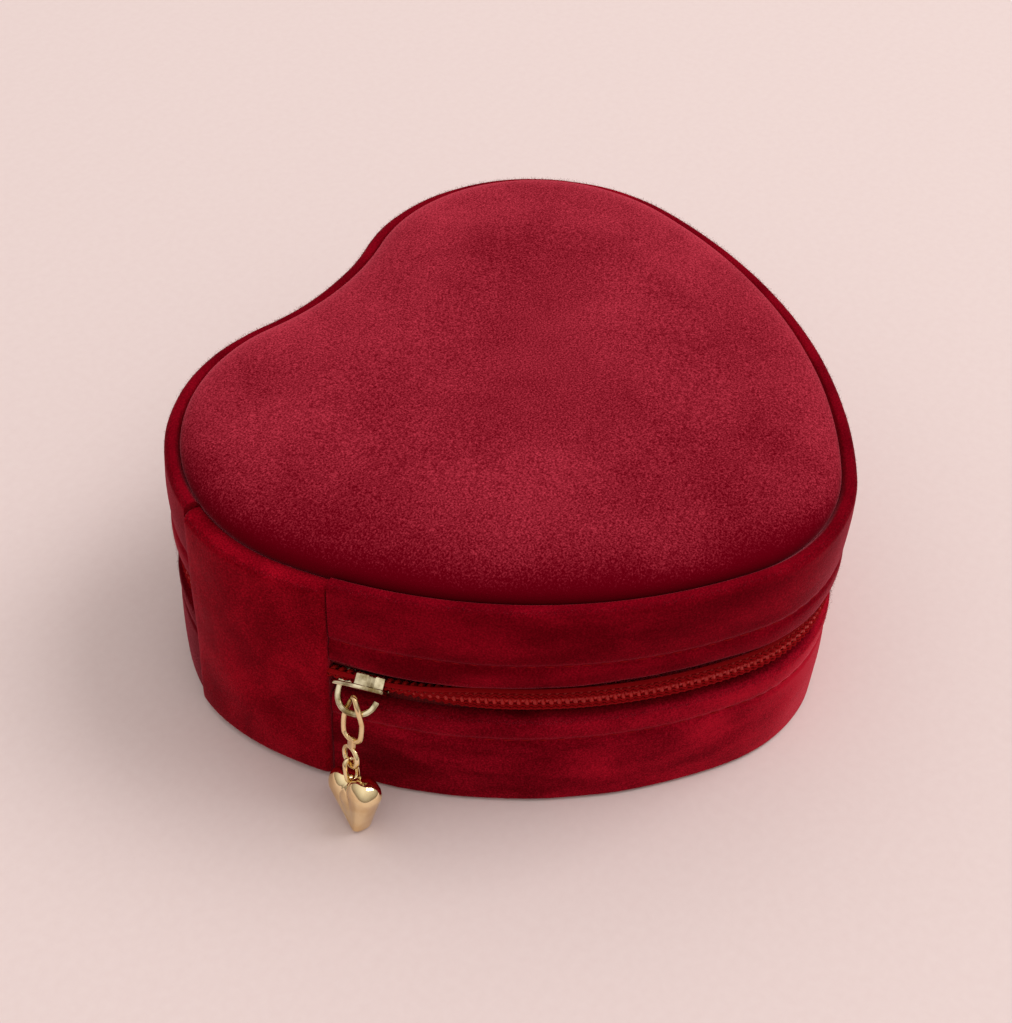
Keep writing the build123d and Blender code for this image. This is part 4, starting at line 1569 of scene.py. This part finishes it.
@dataclass(frozen=True)
class HeartPull:
    """Zip pull: a figure-eight link on the bail, and a puffed heart charm on the link."""

    slider: Slider
    wire: float = 0.9 * MM
    loop_length: float = 9.2 * MM
    loop_width: float = 4.6 * MM
    slack: float = 2.6 * MM
    neck: float = 1.5 * MM
    neck_width: float = 1.5 * MM
    neck_depth: float = 0.8 * MM
    neck_round: float = 0.35 * MM
    neck_bevel: float = 0.2 * MM
    ring_radius: float = 1.75 * MM
    lean: float = 11.0
    turn: float = 48.0
    loop_narrow: float = 0.45
    loop_twist: float = 26.0
    twist_pace: float = 1.6
    charm_turn: float = 38.0
    charm_roll: float = 24.0
    lobe_offset: float = 2.75 * MM
    lobe_radius: float = 2.85 * MM
    tip_radius: float = 0.9 * MM
    notch_radius: float = 0.7 * MM
    lobe_to_tip: float = 6.6 * MM
    thickness: float = 5.0 * MM
    eyelet_length: float = 3.8 * MM
    eyelet_width: float = 2.9 * MM
    eyelet_wire: float = 0.8 * MM
    eyelet_clearance: float = 0.15 * MM
    charm_lift: float = 0.15 * MM
    flatness: float = 0.8
    tip_depth: float = 0.7
    belly: float = 0.97
    voxel: float = 0.11 * MM
    polish: float = 0.5
    polish_rounds: int = 6

    @property
    def loop_top(self) -> float:
        """Place of the loop's upper end along the link."""
        return -self.slack - self.wire / 2

    @property
    def loop_foot(self) -> float:
        """Place of the loop's lower end along the link."""
        return self.loop_top + self.loop_length - self.wire

    @property
    def ring_middle(self) -> float:
        """Place of the ring's middle along the link."""
        return self.loop_foot + self.neck + self.ring_radius

    def link_frame(self, turn: float) -> Matrix:
        """Frame of the link, turned about its length."""
        along = self.slider.along
        return hanging_frame(self.slider.hold, along, along.cross(Vector((0, 0, 1))), turn, self.lean)

    @cached_property
    def lobe_y(self) -> float:
        """Height of the charm's lobes above its middle."""
        return (self.lobe_to_tip + self.tip_radius - self.lobe_radius) / 2

    @cached_property
    def notch_y(self) -> float:
        """Height of the charm's notch above its middle."""
        rise = math.sqrt((self.lobe_radius + self.notch_radius) ** 2 - self.lobe_offset**2)
        return self.lobe_y + rise - self.notch_radius

    @cached_property
    def charm_place(self) -> Matrix:
        """Frame of the charm: X sideways, Y up to its eyelet."""
        foot = self.link_frame(self.charm_turn) @ Vector((0, self.ring_middle + self.ring_radius, 0))
        hang = (self.eyelet_wire + self.wire) / 2
        middle = self.notch_y + self.eyelet_length - hang - self.eyelet_clearance
        roll = math.radians(self.charm_roll)
        reach = (middle - self.lobe_y + self.lobe_to_tip + self.tip_radius) * math.cos(roll)
        lean = math.degrees(math.acos((foot.z - self.charm_lift) / reach))
        side = Matrix.Rotation(-math.radians(self.charm_turn), 3, "Z") @ self.slider.along
        hung = hanging_frame(foot, side, side.cross(Vector((0, 0, 1))), 0, lean)
        hung = hung @ Matrix.Rotation(-roll, 4, "Z") @ Matrix.Translation((0, middle, 0))
        return hung @ Matrix.Rotation(math.pi, 4, "X")

    def build(self) -> list[Piece]:
        """Builds the link and the charm."""
        return [self.link(), self.charm()]

    def link(self) -> Piece:
        """Bends the link's loop and ring, joined by a flat neck."""
        ends = (self.loop_top, self.loop_foot)
        loop, faces = wire_loop(self.loop_width, *ends, self.wire, narrow=self.loop_narrow)
        share = (loop[:, 1] - self.loop_top) / (self.loop_foot - self.loop_top)
        angle = math.radians(self.loop_twist) * smooth_step(self.twist_pace * share)
        x, z = loop[:, 0], loop[:, 2]
        twisted = np.column_stack(
            [x * np.cos(angle) - z * np.sin(angle), loop[:, 1], x * np.sin(angle) + z * np.cos(angle)]
        )
        half = self.neck_width / 2
        start, end = self.loop_foot - half, self.loop_foot + self.neck + half / 2
        corners = [(-half, start), (half, start), (half, end), (-half, end)]
        outline = rounded([(x, y, self.neck_round) for x, y in corners])
        neck = slab(outline, -self.neck_depth / 2, self.neck_depth / 2, self.neck_bevel)
        turns = np.linspace(0, math.tau, 40, endpoint=False)
        circle = np.column_stack([np.cos(turns), np.sin(turns), np.zeros(len(turns))]) * self.ring_radius
        ring = tube(circle + np.array((0, self.ring_middle, 0)), self.wire / 2, 10, loop=True)
        lower = moved(merged([neck, ring]), self.link_frame(self.charm_turn))
        shell = merged([moved((twisted, faces), self.link_frame(self.turn)), lower])
        link = make_piece("pull_link_wire", shell, PULL_GOLD)
        return seat(link, "link", "gold_pull", "pull_link")

    def limb(self, offset: float, radius: float, depth: float) -> Shell:
        """A part of the charm that swells from the tip towards its top.

        Args:
            offset: Sideways place of its top.
            radius: Radius of its top in the heart's plane.
            depth: Half of its thickness there.

        Returns:
            Vertices and faces.
        """
        top = np.array((offset, self.lobe_y - (0 if offset else radius / 2), 0.0))
        tip = np.array((0.0, self.lobe_y - self.lobe_to_tip, 0.0))
        axis = unit(tip - top)
        across = np.array((-axis[1], axis[0], 0.0))
        turns = np.linspace(0, math.tau, 40, endpoint=False)
        round_x, round_z = bowed(turns, self.flatness)
        # Each end from near its pole to near the limb's waist, in degrees
        ends = [(top, radius, depth, -85, -5), (tip, self.tip_radius, self.tip_depth * depth, 5, 85)]
        rows = []
        for centre, reach, thick, first, last in ends:
            for angle in np.radians(np.linspace(first, last, 13)):
                sideways = across * (reach * math.cos(angle) * round_x)[:, None]
                outward = np.array((0, 0, 1)) * (thick * math.cos(angle) ** self.flatness * round_z)[:, None]
                rows.append(centre + axis * (reach * math.sin(angle)) + sideways + outward)
        return skin(np.array(rows))

    def charm(self) -> Piece:
        """Casts the puffed heart with a crease between its halves, and its eyelet."""
        limbs = [self.limb(side * self.lobe_offset, self.lobe_radius, self.thickness / 2) for side in (-1, 1)]
        limbs.append(self.limb(0.0, self.lobe_offset, self.belly * self.thickness / 2))
        raw = make_piece("heart_charm_raw", merged(limbs), PULL_GOLD)
        remesh = raw.modifiers.new("cast", "REMESH")
        remesh.mode = "VOXEL"
        remesh.voxel_size = self.voxel
        polish = raw.modifiers.new("polish", "SMOOTH")
        polish.factor = self.polish
        polish.iterations = self.polish_rounds
        cast = bpy.data.meshes.new_from_object(raw.evaluated_get(bpy.context.evaluated_depsgraph_get()))
        vertices = np.array([vertex.co for vertex in cast.vertices])
        faces = [tuple(polygon.vertices) for polygon in cast.polygons]
        bpy.data.objects.remove(raw)
        ends = (self.notch_y, self.notch_y + self.eyelet_length)
        eyelet = wire_loop(self.eyelet_width, *ends, self.eyelet_wire)
        eyelet = moved(eyelet, Matrix.Rotation(math.pi / 2, 4, "Y"))
        shell = moved(merged([(vertices, faces), eyelet]), self.charm_place)
        charm = make_piece("heart_charm_cast", shell, PULL_GOLD, sharp=70)
        return seat(charm, "charm", "gold_pull", "heart_charm")


@dataclass(frozen=True)
class Lining:
    """Velvet lining of walls, floor and ceiling, and the cover glued under the base."""

    case: HeartCase
    lip: float = 0.35 * MM
    mirror_inset: float = 17.0 * MM
    mirror_lip: float = 2.0 * MM
    mirror_clearance: float = 0.2 * MM
    mirror_thickness: float = 2.0 * MM
    window_round: float = 0.1 * MM
    puff: float = 0.4 * MM
    spacing: float = 1.2 * MM

    def build(self) -> list[Piece]:
        """Builds the linings of both halves."""
        pieces = [self.wall(half) for half in Half]
        inset = self.case.lining_inset
        pieces.append(self.disc("base_floor_velvet", "base_floor_lining", inset, LINING_VELVET))
        pieces.append(self.disc("base_underside_velvet", "bottom_cover", self.case.velvet, SHADED_SIDE_VELVET))
        pieces.append(self.ceiling())
        return pieces

    def around(self, name: str, profile: Array) -> Piece:
        """Carries a lining's section all round the outline."""
        count = round(self.case.length / self.spacing)
        along = self.case.length * np.arange(count) / count
        profiles = np.broadcast_to(profile, (count, *profile.shape))
        return make_piece(name, skin(self.case.carry(along, profiles), loop=True), LINING_VELVET)

    def wall(self, half: Half) -> Piece:
        """Builds a wall's lining with its lip turned over the board."""
        low, high = (corner.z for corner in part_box(f"{half.body}_wall_lining"))
        edge, far = (high, low) if half is Half.BASE else (low, high)
        inner, outer, board = -self.case.room_inset, -self.case.lining_inset, -self.case.velvet
        turned = edge + half.value * self.case.lining
        corners = [
            (inner, far, self.lip),
            (inner, edge, self.lip),
            (board, edge, self.lip),
            (board, turned, 0.0),
            (outer, turned, 0.0),
            (outer, far, 0.0),
        ]
        name = f"{half.body}_wall_velvet"
        piece = self.around(name, divided(rounded(corners, 3), self.spacing))
        return seat(piece, half.body, "lining_velvet", f"{half.body}_wall_lining")

    def disc(self, name: str, node: str, inset: float, finish: Finish) -> Piece:
        """Cuts a flat heart of velvet."""
        low, high = (corner.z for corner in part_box(node))
        piece = make_piece(name, slab(self.case.ring(inset), low, high, self.lip), finish)
        slot = "lining_velvet" if finish is LINING_VELVET else "red_velvet"
        return seat(piece, "base", slot, node)

    def ceiling(self) -> Piece:
        """Builds the padded ceiling round the mirror."""
        low, high = (corner.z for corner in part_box("lid_lining_panel"))
        seat_z = high - self.mirror_thickness
        outer, window = -self.case.lining_inset, -(self.mirror_inset + self.mirror_lip)
        recess = -(self.mirror_inset - self.mirror_clearance)
        corners = [
            (outer, low, self.lip),
            (outer, high, 0.0),
            (recess, high, 0.0),
            (recess, seat_z, 0.0),
            (window, seat_z, self.window_round),
            (window, low, self.window_round),
        ]
        profile = divided(rounded(corners, 3), self.spacing)
        share = (profile[:, 0] - window) / (outer - window)
        under = profile[:, 1] < low + self.lip / 2
        profile[:, 1] -= np.where(under, self.puff * np.sin(math.pi * np.clip(share, 0, 1)), 0)
        piece = self.around("lid_ceiling_velvet", profile)
        return seat(piece, "lid", "lining_velvet", "lid_lining_panel")


@dataclass(frozen=True)
class TrayFittings:
    """Padded dividers and ring rolls in the base."""

    case: HeartCase
    clearance: float = 0.3 * MM
    rolls: int = 4
    divider_round: float = 1.1 * MM
    end_round: float = 3.0 * MM
    end_draw: float = 0.25
    foot_round: float = 0.6 * MM
    fullness: float = 0.98
    spacing: float = 1.5 * MM
    divider_spacing: float = 2.0 * MM

    def build(self) -> list[Piece]:
        """Builds the dividers and the rolls."""
        pieces = [self.divider(node) for node in ("cross_divider", "lobe_divider")]
        pieces += [self.roll(f"ring_roll_{number + 1}") for number in range(self.rolls)]
        return pieces

    def divider(self, node: str) -> Piece:
        """Wraps a divider's board in velvet."""
        low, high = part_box(node)
        corners = [(low.x, low.y), (high.x, low.y), (high.x, high.y), (low.x, high.y)]
        outline = divided(rounded([(x, y, self.divider_round) for x, y in corners]), self.divider_spacing)
        shell = slab(outline, low.z, high.z, self.divider_round)
        piece = make_piece(f"{node}_velvet", shell, LINING_VELVET)
        return seat(piece, "base", "lining_velvet", node)

    def roll(self, node: str) -> Piece:
        """Wraps a foam roll in velvet, its ends cut to the wall."""
        low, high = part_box(node)
        radius = (high.y - low.y) / 2
        corners = [
            (low.y, low.z, self.foot_round),
            (high.y, low.z, self.foot_round),
            (high.y, high.z, radius * self.fullness),
            (low.y, high.z, radius * self.fullness),
        ]
        section = divided(rounded(corners, 10), self.spacing)
        reach = self.case.half_width(self.case.room_inset + self.clearance, section[:, 0])
        middle = np.array(((low.y + high.y) / 2, low.z))
        shares = -np.cos(np.linspace(0, math.pi, 33))
        rows = []
        for share in shares:
            near = np.clip((1 - abs(share)) * reach.mean() / self.end_round, 0, 1)
            drawn = 1 - self.end_draw * (1 - math.sqrt(1 - (1 - near) ** 2))
            spots = middle + (section - middle) * drawn
            rows.append(np.column_stack([share * reach, spots]))
        piece = make_piece(f"{node}_velvet", skin(np.array(rows)), LINING_VELVET)
        return seat(piece, "base", "lining_velvet", node)


@dataclass(frozen=True)
class RigidCore:
    """Greyboard walls and plates, and the mirror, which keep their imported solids."""

    boards: tuple[str, ...] = ("base_floor_board", "base_wall_board", "lid_wall_board", "lid_top_board")
    mirror: str = "lid_mirror"

    def build(self) -> list[Piece]:
        """Dresses the rigid pieces."""
        finishes = {node: GREYBOARD for node in self.boards} | {self.mirror: MIRROR_GLASS}
        for node, finish in finishes.items():
            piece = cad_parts[node]
            piece.data.materials.clear()
            piece.data.materials.append(finish.material())
            log.info("%s keeps its solid", node)
        return [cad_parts[node] for node in finishes]


@dataclass(frozen=True)
class Studio:
    """Pale card on a table, a large soft light high on the right, and the camera."""

    eye: Triple = (-191.31 * MM, -113.22 * MM, 236.29 * MM)
    heading: Triple = (0.60309, 0.38299, -0.69972)
    roll: float = 0.056
    lens: float = 63.34
    floor_size: float = 3.0
    key_place: Triple = (1.05, -0.9, 2.0)
    key_size: float = 1.3
    key_power: float = 24.0
    zenith: str = "#FFFBF8"
    horizon: str = "#857A73"
    sky_strength: float = 1.04
    nearest: float = 10 * MM

    def build(self) -> None:
        """Sets the floor, the lights and the camera."""
        scene = bpy.context.scene
        scene.view_settings.view_transform = "Standard"
        self.lay_floor()
        self.light()
        self.set_camera()

    def lay_floor(self) -> None:
        """Lays the card that the case stands on."""
        half = self.floor_size / 2
        mesh = bpy.data.meshes.new("floor")
        corners = [(-half, -half, 0), (half, -half, 0), (half, half, 0), (-half, half, 0)]
        mesh.from_pydata(corners, [], [(0, 1, 2, 3)])
        mesh.materials.append(PALE_CARD.material())
        floor = bpy.data.objects.new("floor", mesh)
        bpy.context.scene.collection.objects.link(floor)

    def light(self) -> None:
        """Hangs the soft key light and sets a sky that is paler overhead."""
        lamp = bpy.data.lights.new("key", "AREA")
        lamp.size = self.key_size
        lamp.energy = self.key_power
        key = bpy.data.objects.new("key", lamp)
        key.location = self.key_place
        key.rotation_euler = (-Vector(self.key_place)).to_track_quat("-Z", "Y").to_euler()
        bpy.context.scene.collection.objects.link(key)
        world = bpy.data.worlds.new("studio")
        world.use_nodes = True
        tree = world.node_tree
        toward = add_node(tree, "ShaderNodeTexCoord").outputs["Generated"]
        height = add_node(tree, "ShaderNodeSeparateXYZ", {0: toward}).outputs["Z"]
        sky = tinted(tree, height, self.horizon, self.zenith)
        set_inputs(tree, tree.nodes["Background"], {"Color": sky, "Strength": self.sky_strength})
        bpy.context.scene.world = world

    def set_camera(self) -> None:
        """Sets the camera at the viewing angle of the photograph."""
        forward = Vector(self.heading).normalized()
        right = forward.cross(Vector((0, 0, 1))).normalized()
        up = right.cross(forward)
        turned = right * math.cos(self.roll) + up * math.sin(self.roll)
        upright = up * math.cos(self.roll) - right * math.sin(self.roll)
        camera = bpy.data.objects.new("camera", bpy.data.cameras.new("camera"))
        camera.data.lens = self.lens
        camera.data.clip_start = self.nearest
        camera.matrix_world = axes_matrix(Vector(self.eye), turned, upright, -forward)
        bpy.context.scene.collection.objects.link(camera)
        bpy.context.scene.camera = camera


def main() -> None:
    """Builds the case, piece by piece, in its studio."""
    logging.basicConfig(level=logging.INFO, format="%(name)s: %(message)s")
    Studio().build()
    case = HeartCase()
    chain = ZipChain(case)
    slider = Slider(chain)
    assemblies = [
        PaddedTop(case),
        SideBand(case, Half.LID, sags=LID_SAGS),
        SideBand(case, Half.BASE, pile=0.3 * MM, swell=0.2 * MM, finish=BASE_VELVET_LIT_RIGHT, knocks=(CHARM_KNOCK,)),
        FabricHinge(case),
        PileFringe(case),
        chain,
        slider,
        HeartPull(slider),
        Lining(case),
        TrayFittings(case),
        RigidCore(),
    ]
    for assembly in assemblies:
        pieces = assembly.build()
        log.info("%s: %d pieces", type(assembly).__name__, len(pieces))


if __name__ == "__main__":
    main()
